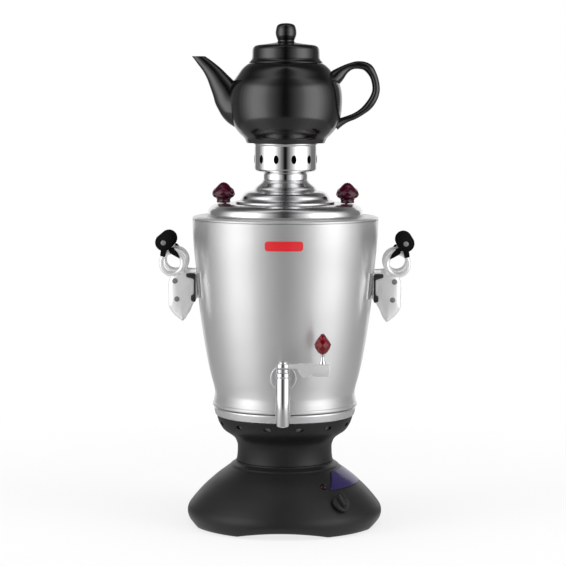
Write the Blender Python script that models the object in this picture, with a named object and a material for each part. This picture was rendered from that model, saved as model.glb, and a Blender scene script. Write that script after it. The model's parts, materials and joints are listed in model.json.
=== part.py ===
"""An electric samovar with its teapot, modelled as separate pieces, in metres.

The origin is on the floor under the middle of the base, +Z is up and the tap points along -Y.
Each turned piece is drawn from its own seat, and its level follows from the piece that carries it.
"""

import math

import bmesh
import bpy
from mathutils import Matrix, Vector

# Fits and facets
FIT = 0.0003
WELD = 0.000002
OVERRUN = 0.004
ROUND_STEPS = 24
POT_STEPS = 20
MEDIUM_STEPS = 10
SMALL_STEPS = 8
CURVE_STEPS = 2
SHARP_ANGLE = math.radians(35)
FULL_TURN = math.radians(360)
QUARTER_TURN = math.radians(90)

# Rubber feet and the screws that hold them, the base plate and the skirt together
FOOT_COUNT = 4
FOOT_AZIMUTH = math.radians(52)
FOOT_HEIGHT = 0.0075
FOOT_RADIUS = 0.0078
FOOT_SOLE_RADIUS = 0.0070
FOOT_CIRCLE_RADIUS = 0.091
FOOT_FLOOR_THICKNESS = 0.0035
BASE_SCREW_RADIUS = 0.002
BASE_SCREW_HEAD_RADIUS = 0.0038
BASE_SCREW_HEAD_HEIGHT = 0.0025
BASE_SCREW_GRIP = 0.010

# Sheet plate that closes the base from below
PLATE_RADIUS = 0.0995
PLATE_THICKNESS = 0.0015

# Moulded skirt of the base, hollow, with four low arches in its edge
SKIRT_LEVEL = 0.0012
SKIRT_RADIUS = 0.1062
SKIRT_HEIGHT = 0.0668
SKIRT_WALL = 0.0025
SKIRT_SHARES = ((0.949, 0), (1, 0.16), (0.87, 0.39), (0.36, 0.77), (0, 1))
NECK_RADIUS = 0.0534
WEB_THICKNESS = 0.003
SPIGOT_DEPTH = 0.003
ARCH_HEIGHT = 0.0055
ARCH_HALF_WIDTH = 0.048
ARCH_STEPS = 6
SCREW_BOSS_RADIUS = 0.0048
WIRE_HOLE_RADIUS = 0.005
WIRE_HOLE_CIRCLE_RADIUS = 0.028

# Mains inlet in a box-shaped housing at the back of the skirt
HOUSING_WIDTH = 0.038
HOUSING_HEIGHT = 0.030
HOUSING_LEVEL = 0.012
HOUSING_BACK = 0.1085
HOUSING_DEPTH = 0.0335
HOUSING_EDGE_RADIUS = 0.003
INLET_WIDTH = 0.0276
INLET_HEIGHT = 0.0196
INLET_DEPTH = 0.020
INLET_FLANGE_MARGIN = 0.003
INLET_FLANGE_THICKNESS = 0.0018
INLET_WALL = 0.002
INLET_SOCKET_DEPTH = 0.0155
INLET_PIN_WIDTH = 0.002
INLET_PIN_HEIGHT = 0.004
INLET_PIN_LENGTH = 0.011
INLET_PIN_PITCH = 0.007
INLET_EARTH_RISE = 0.0035

# Thermostat behind the slope of the skirt, with its knob outside
THERMOSTAT_AZIMUTH = math.radians(-50.5)
THERMOSTAT_LEVEL = 0.0305
THERMOSTAT_RADIUS = 0.008
THERMOSTAT_DEPTH = 0.014
THERMOSTAT_SEAT_RADIUS = 0.0065
THERMOSTAT_SEAT_HEIGHT = 0.0025
THERMOSTAT_BUSH_RADIUS = 0.0045
SPINDLE_RADIUS = 0.0028
SPINDLE_HOUSED_LENGTH = 0.010
KNOB_RADIUS = 0.010
KNOB_CLEARANCE = 0.0018
KNOB_SKIRT_HEIGHT = 0.0035
KNOB_HEIGHT = 0.010
KNOB_GRIP_THICKNESS = 0.0055
KNOB_ROOF_THICKNESS = 0.002

# Glossy dial panel and pilot lamp on the same slope
PANEL_LOW_LEVEL = 0.0450
PANEL_HIGH_LEVEL = 0.0615
PANEL_THICKNESS = 0.0008
PANEL_FIRST_STEP = -4
PANEL_STEP_COUNT = 4
LAMP_AZIMUTH = math.radians(-56)
LAMP_LEVEL = 0.0475
LAMP_RADIUS = 0.0036
LAMP_STEM_RADIUS = 0.0024
LAMP_STEM_LENGTH = 0.007
LAMP_DOME_HEIGHT = 0.0026

# Collar between the base and the vessel, with a ring of oval vents
COLLAR_HEIGHT = 0.0489
COLLAR_RADIUS = 0.0743
COLLAR_WAIST_RADIUS = 0.0517
COLLAR_WALL = 0.0025
COLLAR_SHARES = ((0.05, 0), (0, 0.3), (0.1, 0.45), (0.41, 0.6), (0.757, 0.735), (0.93, 0.87), (1, 1))
VENT_COUNT = 13
VENT_LEVEL_SHARE = 0.85
VENT_HALF_WIDTH = 0.0042
VENT_HALF_HEIGHT = 0.0022

# Tie bolt that clamps skirt, collar and vessel together
TIE_BOLT_RADIUS = 0.004
TIE_BOLT_HEAD_RADIUS = 0.0075
TIE_BOLT_HEAD_HEIGHT = 0.0055
TIE_BOLT_TIP_CLEARANCE = 0.0005
BOSS_RADIUS = 0.009
BOSS_DEPTH = 0.009
BOSS_ROOF = 0.0008

# Bright band under the vessel
BAND_HEIGHT = 0.0097
BAND_LOW_RADIUS = 0.0750
BAND_HIGH_RADIUS = 0.0775
BAND_MIDDLE_SHARE = 0.4
BAND_WIDTH = 0.0060

# Vessel of spun sheet, with a bead at its foot
VESSEL_HEIGHT = 0.2044
VESSEL_RADIUS = 0.1023
VESSEL_WAIST_RADIUS = 0.0765
VESSEL_WAIST_LEVEL = 0.0163
VESSEL_FOOT_RADIUS = 0.0765
VESSEL_BEAD_RADIUS = 0.0792
VESSEL_BEAD_LOW_LEVEL = 0.0012
VESSEL_BEAD_HIGH_LEVEL = 0.0034
VESSEL_WALL = 0.0012
VESSEL_SHARES = ((0, 0), (0.36, 0.2), (0.8, 0.61), (1, 1))

# Flat shoulder ring round the mouth
SHOULDER_THICKNESS = 0.0012
SHOULDER_CROWN_HEIGHT = 0.003
SHOULDER_SEAT_HEIGHT = 0.0015
SHOULDER_EDGE_WIDTH = 0.0023
SHOULDER_CROWN_WIDTH = 0.0158
SHOULDER_SEAT_WIDTH = 0.0100
SHOULDER_SEAT_RADIUS = VESSEL_RADIUS - SHOULDER_CROWN_WIDTH
MOUTH_RADIUS = SHOULDER_SEAT_RADIUS - SHOULDER_SEAT_WIDTH
SHOULDER_LIP_DEPTH = 0.006
SHOULDER_LIP_CLEARANCE = 0.0009

# Heating element with its two threaded sleeves and nuts
HEATER_LEG_OFFSET = 0.024
HEATER_TUBE_RADIUS = 0.0042
HEATER_RING_RADIUS = 0.050
HEATER_RISE = 0.018
HEATER_SLEEVE_SHARE = 1.43
HEATER_FLANGE_SHARE = 2.15
HEATER_PIN_SHARE = 0.55
HEATER_SLEEVE_LENGTH = 0.0105
HEATER_PIN_LENGTH = 0.0025
HEATER_FLANGE_THICKNESS = 0.003
HEATER_NUT_RADIUS = 0.010
HEATER_NUT_HEIGHT = 0.005
HEATER_BEND_SHARE = 0.55
HEATER_ARC_START = math.radians(18)
HEATER_ARC_STEPS = 5
HEATER_BEVEL_RESOLUTION = 1
STEP_LENGTH = 0.0001

# Wires inside the base and collar
WIRE_RADIUS = 0.0014
WIRE_END_GAP = 0.0003
WIRE_STRAIGHT_LENGTH = 0.010
WIRE_STUB_LENGTH = 0.003
WIRE_SIDE_STEP = 0.004
WIRE_DETOUR_RADIUS = 0.046
WIRE_BEVEL_RESOLUTION = 1

# Tap: a vertical plug valve on a horizontal shank through the wall
TAP_LEVEL = 0.168
TAP_REACH = 0.104
TAP_RADIUS = 0.0075
TAP_TIP_RADIUS = 0.0058
TAP_BELOW = 0.049
TAP_ABOVE = 0.0085
TAP_NOSE_HEIGHT = 0.006
SPOUT_BORE_RADIUS = 0.0042
SEAT_BORE_RADIUS = 0.0053
SHANK_RADIUS = 0.0065
SHANK_BORE_RADIUS = 0.0028
SHANK_INSIDE_LENGTH = 0.012
ROSETTE_RADIUS = 0.0150
ROSETTE_THICKNESS = 0.0055
ROSETTE_RIM_SHARE = 0.62
ROSETTE_FACE_SHARE = 0.5
WASHER_RADIUS = 0.0115
WASHER_THICKNESS = 0.002
TAP_NUT_RADIUS = 0.0105
TAP_NUT_THICKNESS = 0.005
PLUG_RADIUS = 0.0050
PLUG_PORT_RADIUS = 0.0026
PLUG_BELOW_PORT = 0.0125
STEM_RADIUS = 0.0031
GLAND_RADIUS = 0.0072
GLAND_HEIGHT = 0.0034
GLAND_GROOVE_DEPTH = 0.0007
GLAND_GROOVE_SHARES = (0.35, 0.5, 0.65)
HUB_RADIUS = 0.0070
HUB_HEIGHT = 0.0055
CAP_RADIUS = 0.0050
CAP_HEIGHT = 0.0026
LEVER_LENGTH = 0.050
LEVER_THICKNESS = 0.0090
LEVER_DEPTH = 0.0150
LEVER_EDGE_RADIUS = 0.0012
LEVER_SHARES = (
    (0, -0.02), (0.25, -0.02), (0.29, 0.03), (0.55, 0.03), (0.6, 0), (0.97, 0), (1, -0.12),
    (1, -0.7), (0.96, -0.86), (0.64, -0.86), (0.57, -0.7), (0.5, -0.98), (0.37, -0.98),
    (0.29, -0.6), (0.25, -0.34), (0, -0.34),
)
TAP_KNOB_OFFSET = 0.0416
TAP_KNOB_STEM_HEIGHT = 0.0095
TAP_KNOB_RADIUS = 0.0089
TAP_KNOB_HEIGHT = 0.0215

# Lid of spun steps
LID_EDGE_CLEARANCE = 0.0013
LID_RADIUS = SHOULDER_SEAT_RADIUS - LID_EDGE_CLEARANCE
LID_HEIGHT = 0.041
LID_TOP_RADIUS = 0.0248
LID_HOLE_RADIUS = 0.020
LID_SHEET = 0.0012
LID_LIP_DEPTH = 0.007
LID_SHARES = (
    (0.98, 0), (1, 0.11), (0.967, 0.25), (0.93, 0.30), (0.89, 0.335), (0.8, 0.365), (0.7, 0.375),
    (0.56, 0.365), (0.5, 0.425), (0.39, 0.5), (0.335, 0.66), (0.15, 0.74), (0.128, 0.837), (0, 1),
)
LID_INSIDE_SHARES = (
    (0.7, 0.34), (0.55, 0.33), (0.36, 0.455), (0.3, 0.62), (0.11, 0.7), (0.09, 0.8),
)
LID_UNDER_SHARES = ((0.955, 0), (0.945, 0.19))
LID_BRIM_SHARE = 0.30
LID_KNOB_OFFSET_SHARE = 0.7864
LID_KNOB_OFFSET = LID_RADIUS * LID_KNOB_OFFSET_SHARE
LID_KNOB_RADIUS = 0.0119
LID_KNOB_HEIGHT = 0.0225
LID_KNOB_SCREW_RADIUS = 0.0018
LID_KNOB_SCREW_HEAD_RADIUS = 0.0036
LID_KNOB_SCREW_HEAD_HEIGHT = 0.0024
LID_KNOB_SCREW_LENGTH = 0.011
LID_KNOB_SCREW_REACH = 0.0108
GEM_SIDES = 8
GEM_SHARES = ((0.42, 0), (0.55, 0.05), (0.56, 0.18), (0.96, 0.38), (1, 0.56), (0.72, 0.73), (0.38, 0.88))

# Steam neck and pierced crown that carry the teapot
NECK_TUBE_HEIGHT = 0.0064
NECK_TUBE_RADIUS = 0.0245
NECK_TUBE_WALL = 0.0015
NECK_SPIGOT_LENGTH = 0.006
CROWN_HEIGHT = 0.0332
CROWN_RADIUS = 0.0355
CROWN_WALL = 0.0013
CROWN_CHAMFER_HEIGHT = 0.0038
CROWN_FLARE = 0.001
CROWN_SPIGOT_LENGTH = 0.004
CROWN_HOLE_COUNT = 11
CROWN_HOLE_SHARE = 0.48
CROWN_HOLE_HALF_WIDTH = 0.0026
CROWN_HOLE_HALF_HEIGHT = 0.0042

# Teapot of glazed ceramic
TEAPOT_HEIGHT = 0.0873
TEAPOT_RADIUS = 0.0610
TEAPOT_SEAT_RADIUS = 0.0430
TEAPOT_FOOT_DEPTH = 0.0065
TEAPOT_FOOT_CLEARANCE = 0.0012
TEAPOT_FOOT_WIDTH = 0.0045
TEAPOT_WALL = 0.0042
TEAPOT_RIM_RADIUS = 0.0415
TEAPOT_MOUTH_RADIUS = 0.0350
TEAPOT_LOWER_SHARES = ((0, 0), (0.1, 0.06), (0.72, 0.205), (0.96, 0.36))
TEAPOT_UPPER_SHARES = ((1, 0.51), (0.82, 0.762), (0.42, 0.9), (0.13, 0.97), (0, 1))
SPOUT_SIDES = 10
SPOUT_BORE_SHARE = 0.62
SPOUT_FLATNESS_SHARE = 0.86
SPOUT_SHARES = (
    (-0.75, 0.43, 0.34), (-1.03, 0.566, 0.285), (-1.205, 0.75, 0.19), (-1.407, 0.944, 0.117),
    (-1.62, 1.075, 0.078), (-1.80, 1.18, 0.070),
)
SPOUT_CUT_LEVEL_SHARE = 1.088
HANDLE_RADIUS = 0.0047
HANDLE_SHARES = (
    (0.84, 0.84), (1.03, 0.925), (1.17, 0.98), (1.335, 1.0), (1.49, 0.955), (1.60, 0.83),
    (1.62, 0.66), (1.50, 0.48), (1.27, 0.345), (1.03, 0.265), (0.84, 0.20),
)

# Teapot lid
POT_LID_HEIGHT = 0.0444
POT_LID_RADIUS = 0.0410
POT_LID_WALL_RADIUS = 0.0380
POT_LID_WALL = 0.0035
POT_LID_PLUG_DEPTH = 0.007
POT_LID_SHARES = (
    (1, 0), (0.966, 0.083), (0.927, 0.11), (0.927, 0.40), (0.83, 0.46), (0.27, 0.525),
    (0.23, 0.56), (0.28, 0.66), (0.293, 0.75), (0.26, 0.88), (0.16, 0.97), (0, 1),
)
POT_LID_VENT_RADIUS = 0.0014
POT_LID_VENT_OFFSET_SHARE = 0.55

# Side handles: cast arms with a ring, a black grip bar and its through bolt
GRIP_STANDOFF = 0.0287
GRIP_OFFSET = VESSEL_RADIUS + GRIP_STANDOFF
GRIP_LEVEL = 0.308
GRIP_RADIUS = 0.0096
GRIP_LENGTH = 0.080
GRIP_END_CHAMFER = 0.0012
GRIP_BOLT_RADIUS = 0.0028
GRIP_CAP_RADIUS = 0.0074
GRIP_CAP_HEIGHT = 0.0046
GRIP_CAP_SHARES = ((0, 1), (0.5, 0.9), (0.87, 0.55), (1, 0))
GRIP_NUT_GRIP = 0.0026
ARM_SPACING = 0.054
ARM_THICKNESS = 0.007
EYE_RADIUS = 0.0062
EYE_NECK_SHARE = 0.8
SLOT_REACH = 0.0068
RING_STANDOFF = 0.0197
RING_OFFSET = VESSEL_RADIUS + RING_STANDOFF
RING_LEVEL = 0.285
RING_RADIUS = 0.0152
RING_HOLE_RADIUS = 0.0093
RING_HOLE_SHIFT = 0.0010
STALK_SHARES = ((0.75, 0.4), (-0.25, 0.75))
LEAF_TOP_LEVEL = 0.2745
LEAF_TIP_LEVEL = 0.2215
LEAF_STANDOFF = 0.0221
LEAF_REACH = VESSEL_RADIUS + LEAF_STANDOFF
LEAF_ROOT_DEPTH = 0.0143
LEAF_ROOT = VESSEL_RADIUS - LEAF_ROOT_DEPTH
LEAF_SHARES = (
    (0, 1), (0.88, 1), (0.97, 0.87), (1, 0.75), (1, 0.25), (0.8, 0.12), (0.60, 0),
    (0.50, 0.1), (0.34, 0.3), (0.27, 0.42), (0, 0.42),
)
BRIDGE_STANDOFF = 0.0042
BRIDGE_REACH = VESSEL_RADIUS + BRIDGE_STANDOFF
BRIDGE_LOW_LEVEL = 0.2500
GASKET_THICKNESS = 0.0024
GASKET_LOW_LEVEL = 0.2470
HANDLE_SCREW_AZIMUTH = math.radians(15)
HANDLE_SCREW_LEVEL = 0.262
HANDLE_SCREW_RADIUS = 0.0019
HANDLE_SCREW_HEAD_RADIUS = 0.0034
HANDLE_SCREW_HEAD_HEIGHT = 0.0022
HANDLE_SCREW_GRIP = 0.0055
HANDLE_SCREW_SETBACK = 0.0003

# Levels that follow from the pieces below
PLATE_LEVEL = FOOT_HEIGHT + FIT
SCREW_BOSS_LEVEL = PLATE_LEVEL + PLATE_THICKNESS + FIT
WEB_TOP_LEVEL = SKIRT_LEVEL + SKIRT_HEIGHT - SPIGOT_DEPTH
WEB_LOW_LEVEL = WEB_TOP_LEVEL - WEB_THICKNESS
COLLAR_LEVEL = SKIRT_LEVEL + SKIRT_HEIGHT + FIT
BAND_LEVEL = COLLAR_LEVEL + COLLAR_HEIGHT + FIT
VESSEL_LEVEL = BAND_LEVEL + BAND_HEIGHT + FIT
SHOULDER_LEVEL = VESSEL_LEVEL + VESSEL_HEIGHT + FIT
LID_LEVEL = SHOULDER_LEVEL + SHOULDER_SEAT_HEIGHT + FIT
NECK_TUBE_LEVEL = LID_LEVEL + LID_HEIGHT + FIT
CROWN_LEVEL = NECK_TUBE_LEVEL + NECK_TUBE_HEIGHT + FIT
TEAPOT_LEVEL = CROWN_LEVEL + CROWN_HEIGHT + FIT
POT_LID_LEVEL = TEAPOT_LEVEL + TEAPOT_HEIGHT + FIT


def mix(low, high, share):
    """Return the value that lies a share of the way from low to high."""
    return low + (high - low) * share


def scaled(shares, low, high, height):
    """Turn (radius share, height share) pairs into an outline in metres."""
    return [(mix(low, high, across), up * height) for across, up in shares]


def smooth(points, steps):
    """Return a Catmull-Rom curve through the points, with steps pieces between neighbours."""
    ends = [points[0]] + list(points) + [points[-1]]
    curve = []
    for before, start, end, after in zip(ends, ends[1:], ends[2:], ends[3:]):
        for step in range(steps):
            t = step / steps
            curve.append(tuple(
                (2 * b + (c - a) * t + (2 * a - 5 * b + 4 * c - d) * t**2
                 + (3 * b - a - 3 * c + d) * t**3) / 2
                for a, b, c, d in zip(before, start, end, after)
            ))
    return curve + [tuple(points[-1])]


def moved_in(outline, distance):
    """Return the outline moved by distance to its inner side, square to its own run."""
    moved = []
    for index, (radius, level) in enumerate(outline):
        before = Vector(outline[max(index - 1, 0)])
        after = Vector(outline[min(index + 1, len(outline) - 1)])
        run = (after - before).normalized()
        moved.append((radius - distance * run.y, level + distance * run.x))
    return moved


def at_level(outline, level):
    """Return the radius and the outward slope (radial, upward) of a rising outline at a level."""
    for (low_radius, low), (high_radius, high) in zip(outline, outline[1:]):
        if low <= level <= high:
            run = Vector((high_radius - low_radius, high - low)).normalized()
            return mix(low_radius, high_radius, (level - low) / (high - low)), (run.y, -run.x)
    raise ValueError("the level lies outside the outline")


def part_of(outline, low, high):
    """Return the stretch of a rising outline between two levels."""
    inner = [point for point in outline if low < point[1] < high]
    return [(at_level(outline, low)[0], low)] + inner + [(at_level(outline, high)[0], high)]


def thinned(outline):
    """Return every second point of an outline, with both ends kept."""
    return outline[:-1:2] + outline[-1:]


def arc(centre, radius, start, sweep, steps):
    """Return points along an arc about a centre in a plane."""
    angles = [start + sweep * step / steps for step in range(steps + 1)]
    return [(centre[0] + radius * math.cos(a), centre[1] + radius * math.sin(a)) for a in angles]


def hole_radius(radius, steps):
    """Return the corner radius of a faceted hole whose flats clear a pin by the fit."""
    return (radius + FIT) / math.cos(math.pi / steps)


def material(name, colour, roughness, metallic):
    """Make a Principled material from a colour, a roughness and a metallic value."""
    look = bpy.data.materials.new(name)
    look.use_nodes = True
    shader = look.node_tree.nodes["Principled BSDF"]
    shader.inputs["Base Color"].default_value = (*colour, 1)
    shader.inputs["Roughness"].default_value = roughness
    shader.inputs["Metallic"].default_value = metallic
    return look


def add_object(name, bm, look=None):
    """Weld a bmesh, face it outward and add it to the scene as a named object."""
    bmesh.ops.remove_doubles(bm, verts=bm.verts, dist=WELD)
    bmesh.ops.recalc_face_normals(bm, faces=bm.faces)
    mesh = bpy.data.meshes.new(name)
    bm.to_mesh(mesh)
    bm.free()
    mesh.shade_smooth()
    mesh.set_sharp_from_angle(angle=SHARP_ANGLE)
    thing = bpy.data.objects.new(name, mesh)
    bpy.context.scene.collection.objects.link(thing)
    if look:
        mesh.materials.append(look)
    return thing


def add_empty(name, location, turn=None):
    """Add an empty that carries the pieces of one axis."""
    empty = bpy.data.objects.new(name, None)
    bpy.context.scene.collection.objects.link(empty)
    empty.location = location
    if turn:
        empty.rotation_euler = turn
    return empty


def turned(name, outline, look=None, steps=ROUND_STEPS, first=0, count=None):
    """Spin an outline of (radius, level) about +Z, all the way round or for count steps.

    The first corner lies half a step past +X, so that a facet faces along each main axis.
    """
    bm = bmesh.new()
    verts = [bm.verts.new((radius, 0, level)) for radius, level in outline]
    reaches_axis = outline[0][0] == 0 and outline[-1][0] == 0
    nexts = verts[1:] if reaches_axis else verts[1:] + verts[:1]
    edges = [bm.edges.new(pair) for pair in zip(verts, nexts)]
    pitch = FULL_TURN / steps
    bmesh.ops.rotate(bm, verts=verts, matrix=Matrix.Rotation((first + 0.5) * pitch, 3, "Z"))
    if count:
        start = bm.faces.new(verts)
        bmesh.ops.spin(bm, geom=[start], cent=(0, 0, 0), axis=(0, 0, 1),
                       angle=count * pitch, steps=count)
    else:
        bmesh.ops.spin(bm, geom=verts + edges, cent=(0, 0, 0), axis=(0, 0, 1),
                       angle=FULL_TURN, steps=steps, use_merge=True)
    return add_object(name, bm, look)


def extruded(name, outline, low, high, look=None, axis="Y"):
    """Extrude a flat outline from low to high along the Y or the Z axis."""
    bm = bmesh.new()
    if axis == "Y":
        verts = [bm.verts.new((a, low, b)) for a, b in outline]
        shift = (0, high - low, 0)
    else:
        verts = [bm.verts.new((a, b, low)) for a, b in outline]
        shift = (0, 0, high - low)
    face = bm.faces.new(verts)
    made = bmesh.ops.extrude_face_region(bm, geom=[face])
    moved = [item for item in made["geom"] if isinstance(item, bmesh.types.BMVert)]
    bmesh.ops.translate(bm, verts=moved, vec=shift)
    return add_object(name, bm, look)


def box(name, low, high, look=None):
    """Add a box between two corners."""
    outline = [(low[0], low[1]), (high[0], low[1]), (high[0], high[1]), (low[0], high[1])]
    return extruded(name, outline, low[2], high[2], look, axis="Z")


def rod(name, radius, low, high, look=None, steps=SMALL_STEPS):
    """Add a plain cylinder along Z."""
    return turned(name, [(0, low), (radius, low), (radius, high), (0, high)], look, steps)


def swept(name, path, in_plane, across, look=None, sides=12):
    """Sweep an oval along a path in the XZ plane, with half widths for each point."""
    bm = bmesh.new()
    rings = []
    for index, (x, z) in enumerate(path):
        before = Vector(path[max(index - 1, 0)])
        after = Vector(path[min(index + 1, len(path) - 1)])
        run = (after - before).normalized()
        ring = []
        for side in range(sides):
            angle = FULL_TURN * side / sides
            reach = in_plane[index] * math.cos(angle)
            ring.append(bm.verts.new((x - run.y * reach, across[index] * math.sin(angle),
                                      z + run.x * reach)))
        rings.append(ring)
    for low, high in zip(rings, rings[1:]):
        for side in range(sides):
            beside = (side + 1) % sides
            bm.faces.new((low[side], low[beside], high[beside], high[side]))
    bm.faces.new(rings[0])
    bm.faces.new(rings[-1])
    return add_object(name, bm, look)


def piped(name, points, radius, look, resolution, shares=None):
    """Add a round tube with filled ends along points in space."""
    curve = bpy.data.curves.new(name, "CURVE")
    curve.dimensions = "3D"
    curve.bevel_depth = radius
    curve.bevel_resolution = resolution
    curve.use_fill_caps = True
    spline = curve.splines.new("POLY")
    spline.points.add(len(points) - 1)
    for index, point in enumerate(points):
        spline.points[index].co = (*point, 1)
        spline.points[index].radius = shares[index] if shares else 1
    curve.materials.append(look)
    thing = bpy.data.objects.new(name, curve)
    bpy.context.scene.collection.objects.link(thing)
    return thing


def guide(thing):
    """Mark an object as a guide for a cut, left out of the product."""
    thing.hide_render = True
    thing.display_type = "WIRE"
    return thing


def combine(thing, other, operation):
    """Add a Boolean modifier that combines a piece with a guide."""
    modifier = thing.modifiers.new(other.name, "BOOLEAN")
    modifier.operation = operation
    modifier.solver = "EXACT"
    modifier.object = guide(other)


def cut(thing, *others):
    """Take the other shapes away from a piece."""
    for other in others:
        combine(thing, other, "DIFFERENCE")


def fuse(thing, *others):
    """Join the other shapes to a piece."""
    for other in others:
        combine(thing, other, "UNION")


def keep_inside(thing, other):
    """Keep only what lies inside the other shape."""
    combine(thing, other, "INTERSECT")


def soften(thing, width, segments=1):
    """Bevel the sharp edges of a piece."""
    bevel = thing.modifiers.new("soft edges", "BEVEL")
    bevel.width = width
    bevel.segments = segments
    bevel.limit_method = "ANGLE"
    bevel.use_clamp_overlap = True


def make_looks():
    """Make the materials of the product, by the name of what each is made of."""
    return {
        "plastic": material("black plastic", (0.018, 0.018, 0.019), 0.42, 0),
        "rubber": material("rubber", (0.02, 0.02, 0.02), 0.8, 0),
        "steel": material("satin steel", (0.60, 0.60, 0.59), 0.28, 1),
        "chrome": material("chrome", (0.78, 0.78, 0.79), 0.08, 1),
        "zinc": material("zinc plate", (0.55, 0.55, 0.56), 0.4, 1),
        "brass": material("brass", (0.72, 0.52, 0.22), 0.3, 1),
        "ceramic": material("black glaze", (0.008, 0.008, 0.009), 0.07, 0),
        "ruby": material("ruby acrylic", (0.22, 0.004, 0.02), 0.1, 0),
        "panel": material("dial panel", (0.035, 0.02, 0.11), 0.15, 0),
        "copper": material("wire cover", (0.35, 0.05, 0.03), 0.5, 0),
    }


def skirt_outline():
    """Return the outer outline of the skirt, from its foot up to the neck."""
    return smooth(scaled(SKIRT_SHARES, NECK_RADIUS, SKIRT_RADIUS, SKIRT_HEIGHT), CURVE_STEPS)


def slope_axis(name, azimuth, level):
    """Add an empty on the skirt's slope whose +Z stands square to the slope."""
    radius, (outward, upward) = at_level(skirt_outline(), level)
    place = (radius * math.cos(azimuth), radius * math.sin(azimuth), SKIRT_LEVEL + level)
    return add_empty(name, place, (0, math.atan2(outward, upward), azimuth))


def place_on(axis, *things):
    """Parent pieces to an axis, drawn in its own frame."""
    for thing in things:
        thing.parent = axis


def foot_places():
    """Return the middles of the four feet."""
    return arc((0, 0), FOOT_CIRCLE_RADIUS, FOOT_AZIMUTH, FULL_TURN, FOOT_COUNT)[:-1]


def make_feet(looks):
    """Add the rubber feet, each with its screw up into the skirt."""
    recess = hole_radius(BASE_SCREW_HEAD_RADIUS, MEDIUM_STEPS) + FIT
    hole = hole_radius(BASE_SCREW_RADIUS, MEDIUM_STEPS)
    floor = FOOT_HEIGHT - FOOT_FLOOR_THICKNESS
    foot = [(recess, 0), (FOOT_SOLE_RADIUS, 0), (FOOT_RADIUS, FOOT_HEIGHT), (hole, FOOT_HEIGHT),
            (hole, floor), (recess, floor)]
    head_top = floor - FIT
    tip = SCREW_BOSS_LEVEL + BASE_SCREW_GRIP
    screw = [(0, head_top - BASE_SCREW_HEAD_HEIGHT),
             (BASE_SCREW_HEAD_RADIUS, head_top - BASE_SCREW_HEAD_HEIGHT),
             (BASE_SCREW_HEAD_RADIUS, head_top), (BASE_SCREW_RADIUS, head_top),
             (BASE_SCREW_RADIUS, tip), (0, tip)]
    for number, (x, y) in enumerate(foot_places(), 1):
        pad = turned(f"foot_pad_{number}", foot, looks["rubber"], MEDIUM_STEPS)
        pad.location = (x, y, 0)
        bolt = turned(f"base_screw_{number}", screw, looks["zinc"], SMALL_STEPS)
        bolt.location = (x, y, 0)


def make_plate(looks):
    """Add the sheet plate that closes the base, with its screw holes."""
    top = PLATE_LEVEL + PLATE_THICKNESS
    plate = rod("base_plate", PLATE_RADIUS, PLATE_LEVEL, top, looks["zinc"], ROUND_STEPS)
    radius = hole_radius(BASE_SCREW_RADIUS, SMALL_STEPS)
    for number, (x, y) in enumerate(foot_places(), 1):
        hole = rod(f"plate hole {number}", radius, PLATE_LEVEL - OVERRUN, top + OVERRUN)
        hole.location = (x, y, 0)
        cut(plate, hole)


def make_arch(name, turn):
    """Add the guide that cuts two opposite arches into the skirt's edge."""
    radius = (ARCH_HALF_WIDTH**2 + ARCH_HEIGHT**2) / (2 * ARCH_HEIGHT)
    half = math.asin(ARCH_HALF_WIDTH / radius)
    outline = arc((0, ARCH_HEIGHT - radius), radius, QUARTER_TURN - half, 2 * half, ARCH_STEPS)
    outline += [(-ARCH_HALF_WIDTH, -OVERRUN), (ARCH_HALF_WIDTH, -OVERRUN)]
    reach = SKIRT_RADIUS + OVERRUN
    arch = extruded(name, outline, -reach, reach)
    arch.location = (0, 0, SKIRT_LEVEL)
    arch.rotation_euler = (0, 0, turn)
    return arch


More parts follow.
